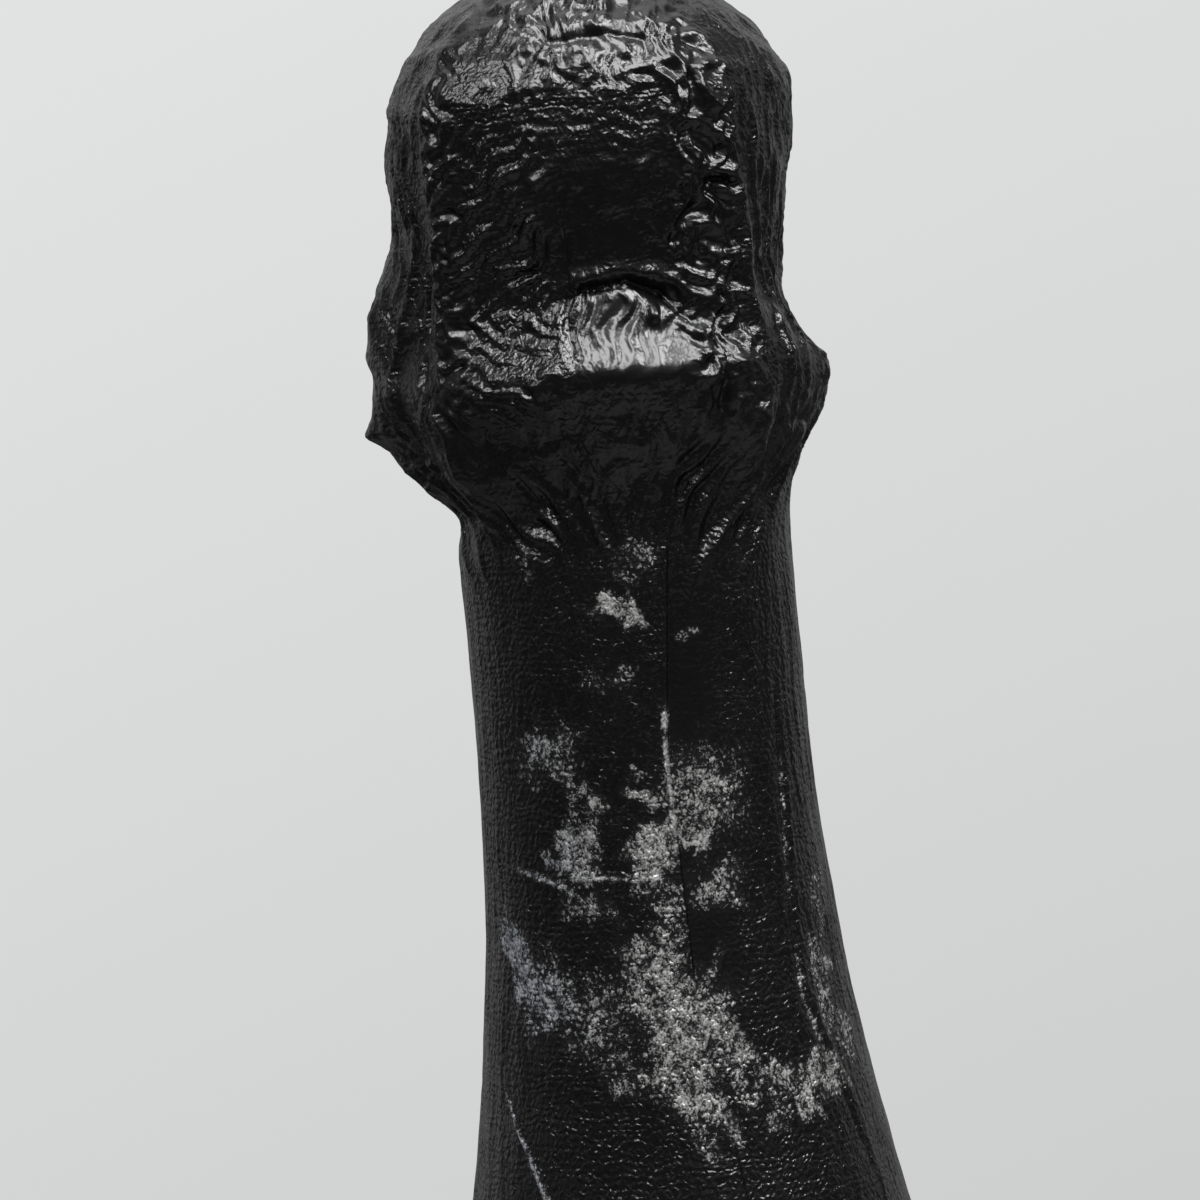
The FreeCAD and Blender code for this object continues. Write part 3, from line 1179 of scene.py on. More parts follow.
@dataclass
class Foil:
    """The capsule: one crumpled sheet over cork, wire hood and neck, in two meshes that meet.

    Attributes:
        outline: The glass under it.
        crown: Height of its top.
        foot: Height of its cut edge.
        wall: How far it stands off the glass.
        gap: From its hidden side to the glass.
        disc: Radius of the flat plate on the cork.
        crown_round: Height over which the crown rounds over.
        crown_power: Shape of that rounding: 2 is an ellipse, and less is more of a cone.
        crown_arc: Length of the sheet over that rounding.
        mean: Radius that turns bearings into millimetres for creases and wrinkles.
        split: Height where the two meshes meet, and the neck's own shape ends.
        head_foot: Height where the head's own shape starts.
        columns: Points round the axis.
        crowd: How much closer together the columns are at the front.
        wires: Bearings of the hood's upright wires.
        seam: The overlap's edge, as (height, bearing).
        panel: The panels between the wires, as (height, radius).
        wire_line: The wires' own line, as (height, radius).
        creases: Single creases.
        wrinkles: Fields of wrinkles.
        rubs: Patches where the lacquer is rubbed through.
        scrapes_and_glints: Thin bare lines along creases, partly scraped lacquer and partly a
            painted glint, whose rise is how bare they are.
    """

    outline: Outline
    crown: float
    foot: float
    wall: float = 0.4
    gap: float = 0.03
    disc: float = 8.5
    crown_round: float = 10.0
    crown_power: float = 1.45
    crown_arc: float = 13.5
    mean: float = 17.0
    split: float = 268.0
    head_foot: float = 272.0
    columns: int = 400
    crowd: float = 0.4
    wires: tuple[float, ...] = (-50.0, 45.0, 133.0, -133.0)
    seam: tuple[tuple[float, float], ...] = (
        (197.0, 19.0), (208.1, 17.5), (218.6, 14.5), (224.5, 11.0), (231.3, 8.6),
        (243.0, 8.1), (252.8, 7.8), (257.7, 9.0), (273.4, 14.9),
    )
    panel: tuple[tuple[float, float], ...] = (
        (268.0, 14.75), (272.0, 14.8), (274.5, 15.1), (277.0, 15.9), (279.5, 16.9), (282.0, 18.0),
        (284.0, 18.8), (285.2, 18.7), (287.2, 17.5), (289.5, 16.5), (291.5, 15.95), (294.0, 15.9),
        (298.0, 16.6), (302.0, 17.3), (306.0, 17.8), (310.0, 18.0),
    )
    wire_line: tuple[tuple[float, float], ...] = (
        (268.0, 14.75), (272.0, 14.95), (275.0, 16.0), (278.0, 17.8), (281.0, 19.0), (284.0, 19.3),
        (288.0, 18.8), (293.0, 18.4), (300.0, 18.5), (306.0, 18.5), (310.0, 18.3),
    )
    creases: tuple[Crease, ...] = (
        # the pocket over the belt: a deep groove under a lip, and the small knob in it
        Crease(
            ((-14.0, 293.0), (-5.0, 294.0), (8.0, 294.3), (20.0, 293.3), (29.0, 291.0)),
            -1.0, 0.55, 1.3,
        ),
        Crease(((-12.0, 294.6), (4.0, 295.6), (18.0, 294.9), (30.0, 292.5)), 0.4, 0.8),
        Crease(((13.5, 291.4), (17.5, 291.3)), 0.95, 0.85, 2.0),
        Crease(((14.0, 293.3), (21.0, 292.6), (26.0, 290.6)), -0.55, 0.4, 1.3),
        # creases that run up the front panel
        Crease(((-11.0, 301.8), (-10.0, 296.9), (-11.5, 292.1), (-9.0, 287.2)), -0.42, 0.4, 1.2),
        Crease(((-14.0, 293.0), (-13.0, 289.2), (-10.5, 286.9)), 0.3, 0.35, 1.2),
        Crease(((34.0, 291.0), (32.5, 286.1), (31.0, 280.7)), -0.6, 0.35, 1.2),
        Crease(((37.5, 290.9), (36.0, 285.1), (35.0, 280.2)), 0.35, 0.6),
        # the crack across the crown
        Crease(((-20.0, 316.4), (-8.0, 315.3), (10.0, 315.9), (30.0, 314.8)), -0.40, 0.3, 1.2),
        Crease(((-30.0, 317.2), (-6.0, 316.5), (12.0, 316.9), (34.0, 316.0)), 0.16, 0.6),
        # beside the wires, and over the loop and the long fold at the sides
        Crease(
            ((50.0, 306.0), (54.0, 298.0), (58.0, 291.0), (57.0, 285.0), (53.0, 278.0)),
            0.5, 0.35, 1.2,
        ),
        Crease(((66.0, 299.0), (69.0, 291.0), (80.0, 286.0), (93.0, 284.0)), 0.4, 0.45, 1.2),
        Crease(((62.0, 281.0), (75.0, 280.0), (88.0, 277.0)), -0.4, 0.5, 1.2),
        Crease(((-62.0, 304.0), (-68.0, 296.0), (-74.0, 288.0), (-72.0, 281.0)), 0.45, 0.4, 1.2),
        Crease(((-56.0, 286.0), (-63.0, 281.0), (-74.0, 277.0), (-86.0, 276.0)), 0.45, 0.4, 1.2),
        Crease(((-58.0, 298.0), (-60.0, 291.0), (-57.0, 284.0)), -0.4, 0.4, 1.2),
        # folds where the head closes on the neck
        Crease(((62.0, 279.7), (47.0, 275.1), (27.0, 269.8), (20.0, 266.0)), 0.55, 0.5, 1.2),
        Crease(((70.0, 277.0), (55.0, 272.3), (38.0, 267.2)), -0.4, 0.5, 1.2),
        Crease(((-88.0, 280.1), (-72.0, 276.5), (-60.0, 272.7), (-55.0, 267.9)), 0.5, 0.6, 1.2),
        Crease(((-100.0, 277.8), (-80.0, 273.8), (-66.0, 268.6)), 0.45, 0.5, 1.2),
        # long lines down the neck
        Crease(
            (
                (54.0, 262.9), (53.0, 252.0), (47.5, 238.3), (45.5, 229.5), (57.0, 220.1),
                (64.0, 208.9),
            ),
            -0.28, 0.25, 1.1,
        ),
        Crease(
            (
                (57.0, 258.9), (56.0, 250.0), (50.5, 238.2), (49.0, 230.4), (60.0, 220.0),
                (67.0, 208.7),
            ),
            0.14, 0.5,
        ),
        Crease(((-58.0, 243.5), (-33.0, 241.8), (-22.0, 239.7)), 0.22, 0.25, 1.2),
        Crease(((-33.0, 242.5), (-11.0, 242.3), (7.0, 241.8)), 0.22, 0.25, 1.2),
        Crease(((-62.0, 223.9), (-50.0, 219.0), (-40.0, 214.1), (-34.0, 208.5)), 0.25, 0.25, 1.2),
        Crease(((20.0, 235.5), (17.0, 233.6), (12.0, 232.5)), 0.16, 0.22, 1.2),
        Crease(((-20.0, 235.5), (-8.0, 235.3)), 0.14, 0.25, 1.2),
        # and on the side away from them
        Crease(((168.0, 262.0), (172.0, 248.0), (166.0, 231.0), (160.0, 214.0)), -0.26, 0.3, 1.1),
        Crease(((120.0, 244.0), (143.0, 239.5), (158.0, 240.5)), 0.22, 0.28, 1.2),
        Crease(((-165.0, 236.0), (-140.0, 229.0), (-120.0, 226.0)), 0.2, 0.28, 1.2),
        Crease(((150.0, 301.0), (156.0, 293.0), (152.0, 286.0)), -0.45, 0.45, 1.2),
        Crease(((-172.0, 293.0), (-155.0, 294.0), (-142.0, 291.0)), -0.7, 0.5, 1.3),
    )
    wrinkles: tuple[Wrinkles, ...] = (
        # the front panel: fans from the left wire, upright ones on the slope over the belt
        Wrinkles(-31.0, 18.0, 290.0, 311.0, 36.0, 3.2, 1.5, 0.58, 21),
        Wrinkles(-30.0, 18.0, 282.5, 294.0, -22.0, 3.2, 1.4, 0.46, 22),
        Wrinkles(0.0, 17.0, 285.8, 296.5, 80.0, 5.0, 2.3, 0.50, 23, Fold.CRUSHED),
        Wrinkles(-4.0, 15.0, 286.2, 296.5, 84.0, 6.0, 1.6, 0.08, 32),
        Wrinkles(24.0, 7.0, 285.0, 293.5, 38.0, 4.0, 1.2, 0.34, 24),
        Wrinkles(0.0, 34.0, 302.0, 314.0, 4.0, 2.6, 1.25, 0.20, 25),
        # the crown: upright ones with others across them
        Wrinkles(4.0, 38.0, 309.5, 322.0, 78.0, 3.8, 2.8, 0.44, 26, Fold.CRUSHED),
        Wrinkles(4.0, 30.0, 310.5, 321.0, 80.0, 3.2, 1.5, 0.06, 31),
        Wrinkles(-16.0, 17.0, 309.0, 320.0, -52.0, 3.5, 2.2, 0.26, 27),
        Wrinkles(22.0, 17.0, 309.0, 320.0, 28.0, 3.0, 2.0, 0.22, 28),
        # crushed bands beside the front wires
        Wrinkles(34.0, 10.0, 277.0, 320.0, 62.0, 3.0, 2.1, 1.45, 29, Fold.CRUSHED),
        Wrinkles(-46.0, 6.0, 280.0, 318.0, 120.0, 2.4, 1.5, 0.85, 30, Fold.CRUSHED),
        # the hollows at both sides, and the neck's sides
        Wrinkles(74.0, 24.0, 274.0, 318.0, 82.0, 5.0, 1.5, 0.36, 41),
        Wrinkles(-76.0, 24.0, 274.0, 318.0, 98.0, 5.0, 1.5, 0.36, 42),
        Wrinkles(70.0, 26.0, 190.0, 284.0, 91.0, 7.0, 0.95, 0.09, 43),
        Wrinkles(-70.0, 26.0, 190.0, 284.0, 88.0, 7.0, 0.95, 0.09, 44),
        # tucks under the belt
        Wrinkles(-36.0, 18.0, 268.0, 286.0, 122.0, 6.0, 1.8, 0.60, 52),
        Wrinkles(34.0, 16.0, 268.0, 286.0, 60.0, 6.0, 1.8, 0.60, 53),
        Wrinkles(0.0, 22.0, 270.0, 285.0, 88.0, 4.0, 1.9, 0.40, 54, Fold.CRUSHED),
        # the same behind
        Wrinkles(180.0, 30.0, 289.0, 308.0, -35.0, 5.0, 1.35, 0.32, 45),
        Wrinkles(170.0, 30.0, 282.5, 292.0, 70.0, 5.0, 1.3, 0.34, 46),
        Wrinkles(180.0, 60.0, 310.5, 321.0, 96.0, 3.2, 1.4, 0.32, 47),
        Wrinkles(142.0, 9.0, 280.0, 316.0, 60.0, 2.4, 1.5, 0.70, 48, Fold.CRUSHED),
        Wrinkles(-126.0, 9.0, 280.0, 316.0, 120.0, 2.4, 1.5, 0.70, 49, Fold.CRUSHED),
        Wrinkles(112.0, 20.0, 190.0, 284.0, 90.0, 8.0, 1.0, 0.08, 50),
        Wrinkles(-114.0, 20.0, 190.0, 284.0, 90.0, 8.0, 1.0, 0.08, 51),
    )
    rubs: tuple[Rub, ...] = (
        Rub(-2.7, 266.2, 2.1, 1.4, 1.0), Rub(-0.2, 265.8, 1.2, 1.5, 0.9, 30.0),
        Rub(4.3, 263.4, 1.2, 0.9, 0.45), Rub(-8.7, 270.8, 1.1, 1.2, 0.42),
        Rub(0.9, 270.3, 2.1, 3.0, 0.34), Rub(-2.9, 259.8, 3.0, 1.5, 0.30),
        Rub(-8.6, 253.6, 3.9, 2.8, 0.50, 20.0), Rub(-6.8, 251.4, 1.5, 1.8, 0.60),
        Rub(-6.6, 245.6, 2.4, 4.2, 0.78, -20.0), Rub(-5.7, 248.2, 2.2, 1.2, 0.6),
        Rub(4.8, 249.3, 4.4, 5.4, 0.52), Rub(3.8, 246.4, 3.2, 2.5, 0.66, 35.0),
        Rub(-0.2, 249.5, 2.9, 1.1, 0.80, -28.0, -1),
        Rub(0.0, 244.2, 3.2, 3.0, 0.88, 0.0, -1), Rub(0.9, 239.7, 1.8, 2.8, 0.46, 0.0, -1),
        Rub(5.3, 240.6, 3.0, 2.8, 0.50, 0.0, 1), Rub(-6.4, 239.9, 2.6, 2.0, 0.62),
        Rub(-12.9, 235.1, 2.1, 5.2, 0.74, 24.0), Rub(-11.0, 231.9, 4.0, 3.5, 0.62, 30.0),
        Rub(-6.5, 230.5, 5.2, 4.0, 0.42, 20.0), Rub(-1.0, 233.1, 4.2, 4.0, 0.60, 20.0, -1),
        Rub(1.6, 229.3, 4.5, 4.5, 0.70), Rub(4.8, 226.9, 2.8, 4.8, 0.66, 10.0),
        Rub(1.2, 223.7, 3.0, 4.0, 0.72, 30.0), Rub(3.3, 220.2, 2.2, 3.0, 0.46, 30.0),
        Rub(-3.7, 225.0, 3.2, 2.5, 0.44), Rub(-1.0, 236.3, 3.0, 2.0, 0.55, 0.0, -1),
        Rub(9.2, 223.3, 3.0, 1.9, 0.52), Rub(12.9, 222.9, 3.2, 2.0, 0.64, -12.0),
        Rub(11.7, 221.2, 1.1, 2.4, 0.66), Rub(13.7, 230.5, 2.0, 4.8, 0.52),
        Rub(15.3, 225.8, 1.8, 3.2, 0.45), Rub(14.2, 237.3, 1.5, 4.0, 0.30),
        Rub(8.8, 219.9, 1.8, 1.8, 0.4),
    )
    # Lines along creases: partly scraped lacquer, partly a painted glint of the crease.
    scrapes_and_glints: tuple[Crease, ...] = (
        Crease(((-58.0, 243.6), (-44.0, 242.6), (-33.0, 241.9), (-22.0, 239.8)), 0.9, 0.26),
        Crease(((-33.0, 242.6), (-11.0, 242.4), (5.0, 241.9)), 1.0, 0.26),
        Crease(((-62.0, 223.9), (-50.0, 219.0), (-40.0, 214.1), (-34.0, 208.5)), 0.9, 0.24),
        Crease(((54.0, 252.0), (48.5, 240.3), (47.0, 236.5)), 0.5, 0.22),
        Crease(((47.5, 235.0), (46.3, 229.5), (57.0, 220.1)), 0.75, 0.24),
        Crease(((18.0, 236.0), (15.0, 234.0), (11.0, 232.5)), 0.5, 0.24),
    )

    def bearings(self) -> Array:
        """Bearings of the columns, closer together at the front.

        Returns:
            Degrees from -180 up, one for each column.
        """
        turn = np.linspace(-math.pi, math.pi, self.columns, endpoint=False)
        return np.degrees(turn - self.crowd * np.sin(turn))

    def along_table(
        self, table: Sequence[tuple[float, float]], z: Array, blur: float = 0.5
    ) -> Array:
        """A radius read from a short table of (height, radius), with its corners rounded.

        Args:
            table: The table, from low to high.
            z: Heights.
            blur: How far the corners are rounded, in millimetres.

        Returns:
            The radius at each height.
        """
        heights, radii = np.array(table).T
        spread = np.linspace(-1.5, 1.5, 13)
        weights = np.exp(-(spread**2))
        parts = [w * np.interp(z + s * blur, heights, radii) for s, w in zip(spread, weights)]
        return sum(parts) / weights.sum()

    def base(self, bearing: Array, z: Array) -> Array:
        """Radius of the sheet before it is crumpled, up to the foot of the crown.

        Between the wires it follows the panels, and each wire lifts it to the wires' own line.  The
        loop on the right, the long fold on the left and the wire's end under it are humps.

        Args:
            bearing: Bearings in degrees.
            z: Heights.

        Returns:
            The radius at each point.
        """
        neck = self.outline.radius(z) + self.wall
        belt_up = 2.0 * np.clip(np.cos(np.radians(bearing)), 0.0, 1.0)
        belt_up = belt_up * band(z, self.head_foot, 277.0, 296.0, 312.0)
        head = self.along_table(self.panel, z - belt_up)
        front = facing(bearing, -3.0, 34.0, 3.0) * smooth(286.0, 291.0, z)
        head = head - (0.7 + 1.6 * smooth(300.0, 316.0, z)) * front
        head = head + 0.35 * facing(bearing, 90.0, 40.0) * smooth(296.0, 305.0, z)
        left = facing(bearing, -90.0, 46.0, 4.0)
        head = head - left * (0.85 * smooth(305.0, 310.0, z) + 0.95 * hump(z - 274.2, 2.4))
        line = self.along_table(self.wire_line, z)
        lift = np.zeros(np.broadcast(bearing, z).shape)
        for index, wire in enumerate(self.wires):
            sway = 2.0 * np.sin(z / 5.2 + 2.1 * index) + 0.9 * np.sin(z / 1.9 + 1.3 * index)
            off = turn_between(bearing, wire + sway)
            lift = np.maximum(lift, np.exp(-(np.sqrt(off**2 + 1.3**2) - 1.3) / 8.5))
        head = head + (line - head) * lift
        closing = smooth(271.0, 279.0, z)
        loop = facing(bearing, 88.0, 26.0) * hump(z - 281.2, 4.4)
        fold = 4.6 * facing(bearing, -90.0, 21.0) * hump(z - 291.3, 6.8)
        tip = 3.2 * facing(bearing, -90.0, 9.0, 1.5) * hump(z - 282.0, 1.9, 1.5)
        under = 1.5 * facing(bearing, -86.0, 22.0) * hump(z - 278.0, 3.0)
        head = head + (loop + fold + tip + under) * closing
        return neck + (head - neck) * smooth(self.split, self.head_foot, z)

    def crumple(self, grid: Array, bearing: Array, z: Array, crown: Array) -> Array:
        """Height of dents, crests and wrinkles over the smooth sheet, in millimetres.

        Dents are broad noise.  Crests are ridged noise, read at places bent by more noise.  The
        tucks under the belt are crests that lean towards the front as they near the neck.

        Args:
            grid: The smooth sheet's points.
            bearing: Their bearings.
            z: Their heights.
            crown: 0 on the wall and 1 on the crown.

        Returns:
            The height at each point.
        """
        along = np.radians(bearing) * self.mean
        head = smooth(270.0, 277.0, z) * (1.0 - 0.65 * self.slope(bearing, z))
        bent = grid + np.stack([Noise(k).at(grid, 4.2) for k in (11, 12, 13)], -1) * 1.5
        beside = facing(bearing, 84.0, 36.0, 4.0) + facing(bearing, -84.0, 36.0, 4.0)
        dents = 0.28 * Noise(1).at(grid, 8.5) + (0.14 + 0.14 * beside) * Noise(2).at(grid, 4.3)
        crests = 0.42 * Noise(3).folds(bent, 4.8) + 0.22 * Noise(4).folds(bent, 2.3)
        fine = 0.10 * Noise(6).folds(bent, 1.1)
        height = head * (dents + crests * (0.75 + 0.25 * crown) + fine * (0.75 - 0.6 * crown))
        slant = along - 0.75 * np.sin(np.radians(bearing)) * (z - self.head_foot)
        pleats = Noise(9).folds(np.stack([slant / 1.9, z / 9.0, 0.0 * z], -1), 1.0)
        gather = hump(z - 276.5, 5.4) * (0.8 + 0.5 * Noise(10).at(grid, 9.0))
        height = height + 1.1 * gather * pleats
        for wrinkles in self.wrinkles:
            height = height + wrinkles.at(grid, along, z, self.mean)
        flutes = Noise(14).ridges(np.stack([along / 2.6, z / 26.0, 0.0 * z], -1), 1.0, 1.4)
        neck = 1.0 - smooth(self.split, 274.0, z)
        swell = 0.10 * Noise(15).at(grid, 11.0) + 0.05 * Noise(16).at(grid, 3.4)
        return height + neck * (swell + 0.08 * flutes)

    def slope(self, bearing: Array, z: Array) -> Array:
        """1 on the smooth slope over the front of the belt and 0 off it."""
        return facing(bearing, 8.0, 19.0, 4.0) * band(z, 285.0, 286.5, 292.5, 294.5)

    def past_seam(self, bearing: Array, z: Array, radius: Array) -> Array:
        """Millimetres to the right of the overlap's edge."""
        heights, turns = np.array(self.seam).T
        return np.radians(turn_between(bearing - np.interp(z, heights, turns), 0.0)) * radius

    def overlap(self, past: Array, z: Array) -> Array:
        """Height of the sheet's free edge, a step down to the right that fades out to the left.

        Args:
            past: Millimetres to the right of the edge.
            z: Heights.

        Returns:
            The height at each point.
        """
        sheet = band(past, -9.0, -0.3, -0.1, 0.1)
        hollow = hump(past - 0.7, 0.7)
        return (0.3 * sheet - 0.1 * hollow) * smooth(273.0, 269.0, z)

    def shape(self, z: Array, crown: Array, disc: Array) -> tuple[Array, dict[str, Array], Array]:
        """The crumpled sheet over rows of the mean outline.

        Args:
            z: Height of each row, up to the crown's foot, which the crown's rows repeat.
            crown: Share of the crown's rounding that each row has passed, 0 on the wall.
            disc: Share of the disc's radius that each row has reached, 1 off the disc.

        Returns:
            The grid, its marks, and its texture places.
        """
        bearing, z, crown, disc = np.broadcast_arrays(
            self.bearings()[None, :], z[:, None], crown[:, None], disc[:, None]
        )
        turn = np.radians(bearing)
        wide = self.base(bearing, z)
        shrink = (1.0 - crown**self.crown_power) ** (1.0 / self.crown_power)
        radius = (self.disc + (wide - self.disc) * shrink) * disc
        level = z + self.crown_round * crown
        level = level + 0.5 * (1.0 - disc**2) * np.where(crown >= 1.0, 1.0, 0.0)
        grid = around(turn, radius, level)
        up = crown**1.5
        out = np.sqrt(1.0 - up**2)
        height = self.crumple(grid, bearing, level, smooth(0.15, 0.8, crown))
        past = self.past_seam(bearing, level, radius)
        height = height + self.overlap(past, level)
        for crease in self.creases:
            height = height + crease.at(turn * self.mean, level, self.mean)
        push(grid, turn, height * out, height * up)
        marks = {
            "wear_and_glints": self.wear_and_glints(grid, bearing, level, past),
            "grain": self.grain(bearing, level, past),
            "seam": np.clip(past, -4.0, 4.0),
        }
        return grid, marks, self.texture(radius, level, crown, disc)

    def wear_and_glints(self, grid: Array, bearing: Array, z: Array, past: Array) -> Array:
        """How far the lacquer is rubbed off: patches at the front, clouds of noise behind, and
        lines along creases that are partly a painted glint.

        The patches are read at places bent by noise, so that their rims are uneven.

        Args:
            grid: The sheet's points.
            bearing: Their bearings.
            z: Their heights.
            past: Millimetres to the right of the seam.

        Returns:
            0 for whole lacquer and 1 for bare metal, at each point.
        """
        bend_x, bend_z = (
            1.5 * Noise(seed).at(grid, 2.6) + 0.7 * Noise(seed + 1).at(grid, 1.1)
            for seed in (33, 35)
        )
        left = smooth(0.12, -0.12, past)
        worn_and_glints = np.zeros_like(z)
        for rub in self.rubs:
            near = float(self.outline.radius(rub.z)) + self.wall
            share = rub.at(np.radians(bearing) * near + bend_x, z + bend_z, near)
            kept = {-1: left, 0: 1.0, 1: 1.0 - left}[rub.side]
            worn_and_glints = np.maximum(worn_and_glints, share * kept)
        worn_and_glints = np.maximum(worn_and_glints, hump(past + 0.2, 0.32) * band(z, 243.0, 247.0, 255.5, 259.0))
        # Bare lines along creases, partly scrapes and partly a painted glint.
        for glint_scrape in self.scrapes_and_glints:
            worn_and_glints = np.maximum(worn_and_glints, glint_scrape.at(np.radians(bearing) * self.mean, z, self.mean))
        behind = smooth(85.0, 110.0, np.abs(turn_between(bearing, 0.0)))
        cloud = Noise(31).at(grid, 9.0) + 0.6 * Noise(32).at(grid, 4.0)
        added = behind * smooth(266.0, 246.0, z) * smooth(0.25, 0.85, cloud) * 0.75
        return np.clip(np.maximum(worn_and_glints, added), 0.0, 1.0)

    def grain(self, bearing: Array, z: Array, past: Array) -> Array:
        """Strength of the emboss, which is less wherever the sheet is pulled smooth.

        That is, in the order of the factors: along the crushed bands beside the wires, right of the
        seam, in the middle of the front panel, on the slope over the belt and on the crown.  Under
        the belt it is stretched a little smoother too.

        Args:
            bearing: Bearings in degrees.
            z: Heights.
            past: Millimetres to the right of the seam.

        Returns:
            The strength at each point.
        """
        crushed = facing(bearing, 34.0, 9.0, 4.0) + facing(bearing, -46.0, 6.0, 4.0)
        grain = 0.95 - 0.45 * hump(z - 278.0, 6.0)
        for smoothed in (
            0.65 * crushed * smooth(278.0, 284.0, z),
            0.7 * band(past, -0.1, 0.3, 3.2, 5.4) * band(z, 229.0, 233.0, 262.0, 272.0),
            0.55 * facing(bearing, 2.0, 24.0, 4.0) * band(z, 291.0, 294.0, 304.0, 309.0),
            0.85 * self.slope(bearing, z),
            0.8 * smooth(309.5, 314.0, z) * (0.4 + 0.6 * facing(bearing, 2.0, 45.0, 4.0)),
        ):
            grain = grain * (1.0 - smoothed)
        return grain

    def texture(self, radius: Array, z: Array, crown: Array, disc: Array) -> Array:
        """Millimetres along and up the sheet, from behind; on the disc, across its plane.

        The whole head is measured along one radius, and each row of the neck along its own.

        Args:
            radius: Radii.
            z: Heights.
            crown: Share of the crown's rounding.
            disc: Share of the disc's radius.

        Returns:
            Texture places, shaped (rows, columns + 1, 2).
        """
        turn = np.radians(np.append(self.bearings(), self.bearings()[0] + 360.0))[None, :]
        z, crown, disc = z[:, :1], crown[:, :1], disc[:, :1]
        head = 17.6
        mean = head + (radius.mean(1, keepdims=True) - head) * smooth(284.0, 262.0, z)
        up = z + (self.crown_arc - self.crown_round) * crown
        sheet = np.stack(np.broadcast_arrays(turn * mean, up), -1)
        plane = around(turn, self.disc * disc, z)[..., :2]
        return np.where((crown >= 1.0)[..., None], plane, sheet)

    def lining(self, rows: Array, radius: float | Array) -> Array:
        """Hidden rows on the glass side, which close a mesh.

        Args:
            rows: Heights, in order.
            radius: Radius, one for all rows or one for each.

        Returns:
            The grid, shaped (rows, columns, 3).
        """
        reach = np.broadcast_to(radius, rows.shape)[:, None]
        return around(np.radians(self.bearings())[None, :], reach, rows[:, None])

    def build(self) -> list[bpy.types.Object]:
        """Builds and dresses the head and the skirt.

        Returns:
            Both objects.
        """
        finish = FoilFinish().make()
        top = self.crown - self.crown_round
        flat_rows, round_rows, wall_rows, skirt_rows = 26, 60, 148, 232
        disc = np.concatenate([np.linspace(0.04, 1.0, flat_rows), np.ones(round_rows + wall_rows)])
        lean = np.cos(np.linspace(0.0, math.pi / 2, round_rows + 1)[1:])
        crown = np.concatenate([np.ones(flat_rows), np.clip(lean, 0.0, 1.0), np.zeros(wall_rows)])
        heights = np.linspace(top, self.split, wall_rows + 1)[1:]
        z = np.concatenate([np.full(flat_rows + round_rows, top), heights])
        head, head_marks, head_uv = self.shape(z, crown, disc)
        low = np.linspace(self.split, self.foot, skirt_rows)
        skirt, skirt_marks, skirt_uv = self.shape(low, np.zeros(skirt_rows), np.ones(skirt_rows))
        ragged = 0.45 * Noise(17).at(skirt[-1], 6.0) + 0.3 * Noise(18).at(skirt[-1], 1.8)
        near_foot = smooth(self.foot + 14.0, self.foot, low)[:, None]
        skirt[..., 2] += ragged[None, :] * near_foot
        over_mouth = self.outline.mouth + 0.5
        inner = self.lining(np.linspace(self.split, over_mouth, 6), self.outline.neck + self.gap)
        under = np.linspace(self.foot + 0.6, self.split, 12)
        skin = self.lining(under, self.outline.radius(under) + self.gap)
        poles = ((0, 0, float(head[0, :, 2].mean())), (0, 0, over_mouth))
        pieces = []
        for name, grid, lining, marks, uv, ends in (
            ("foil_head", head, inner, head_marks, head_uv, poles),
            ("foil_skirt", skirt, skin, skirt_marks, skirt_uv, (None, None)),
        ):
            more = ((0, len(lining)), (0, 0))
            padded = {key: np.pad(mark, more, "edge") for key, mark in marks.items()}
            wide = np.pad(uv, (*more, (0, 0)), "edge")
            whole = np.concatenate([grid, lining])
            piece = MeshKit.build(name, Sheet(whole, wide, padded, ends, ring=ends[0] is None))
            dress(piece, finish, Slot.FOIL, "foil_capsule")
            pieces.append(piece)
        self.share_normals(pieces, head, skirt)
        return pieces

    def share_normals(self, pieces: list[bpy.types.Object], head: Array, skirt: Array) -> None:
        """Gives both meshes the normals of the whole sheet, so that no line shows where they meet.

        A grid's normal is the cross product of its steps along a column and along a row.

        Args:
            pieces: The head and the skirt.
            head: The head's outer grid.
            skirt: The skirt's outer grid, whose first row is the head's last.
        """
        whole = np.concatenate([head, skirt[1:]])
        down = np.gradient(whole, axis=0)
        wrapped = np.concatenate([whole[:, -1:], whole, whole[:, :1]], 1)
        across = wrapped[:, 2:] - wrapped[:, :-2]
        normal = np.cross(down, across)
        normal /= np.linalg.norm(normal, axis=-1, keepdims=True)
        cut = len(head)
        for piece, part in zip(pieces, (normal[:cut], normal[cut - 1 :])):
            mesh = piece.data
            filled = np.zeros(len(mesh.vertices) * 3, np.float32)
            mesh.vertices.foreach_get("normal", filled)
            filled = filled.reshape(-1, 3)
            filled[: part.shape[0] * part.shape[1]] = part.reshape(-1, 3)
            mesh.normals_split_custom_set_from_vertices(filled.tolist())


# ---- labels ---------------------------------------------------------------------------------


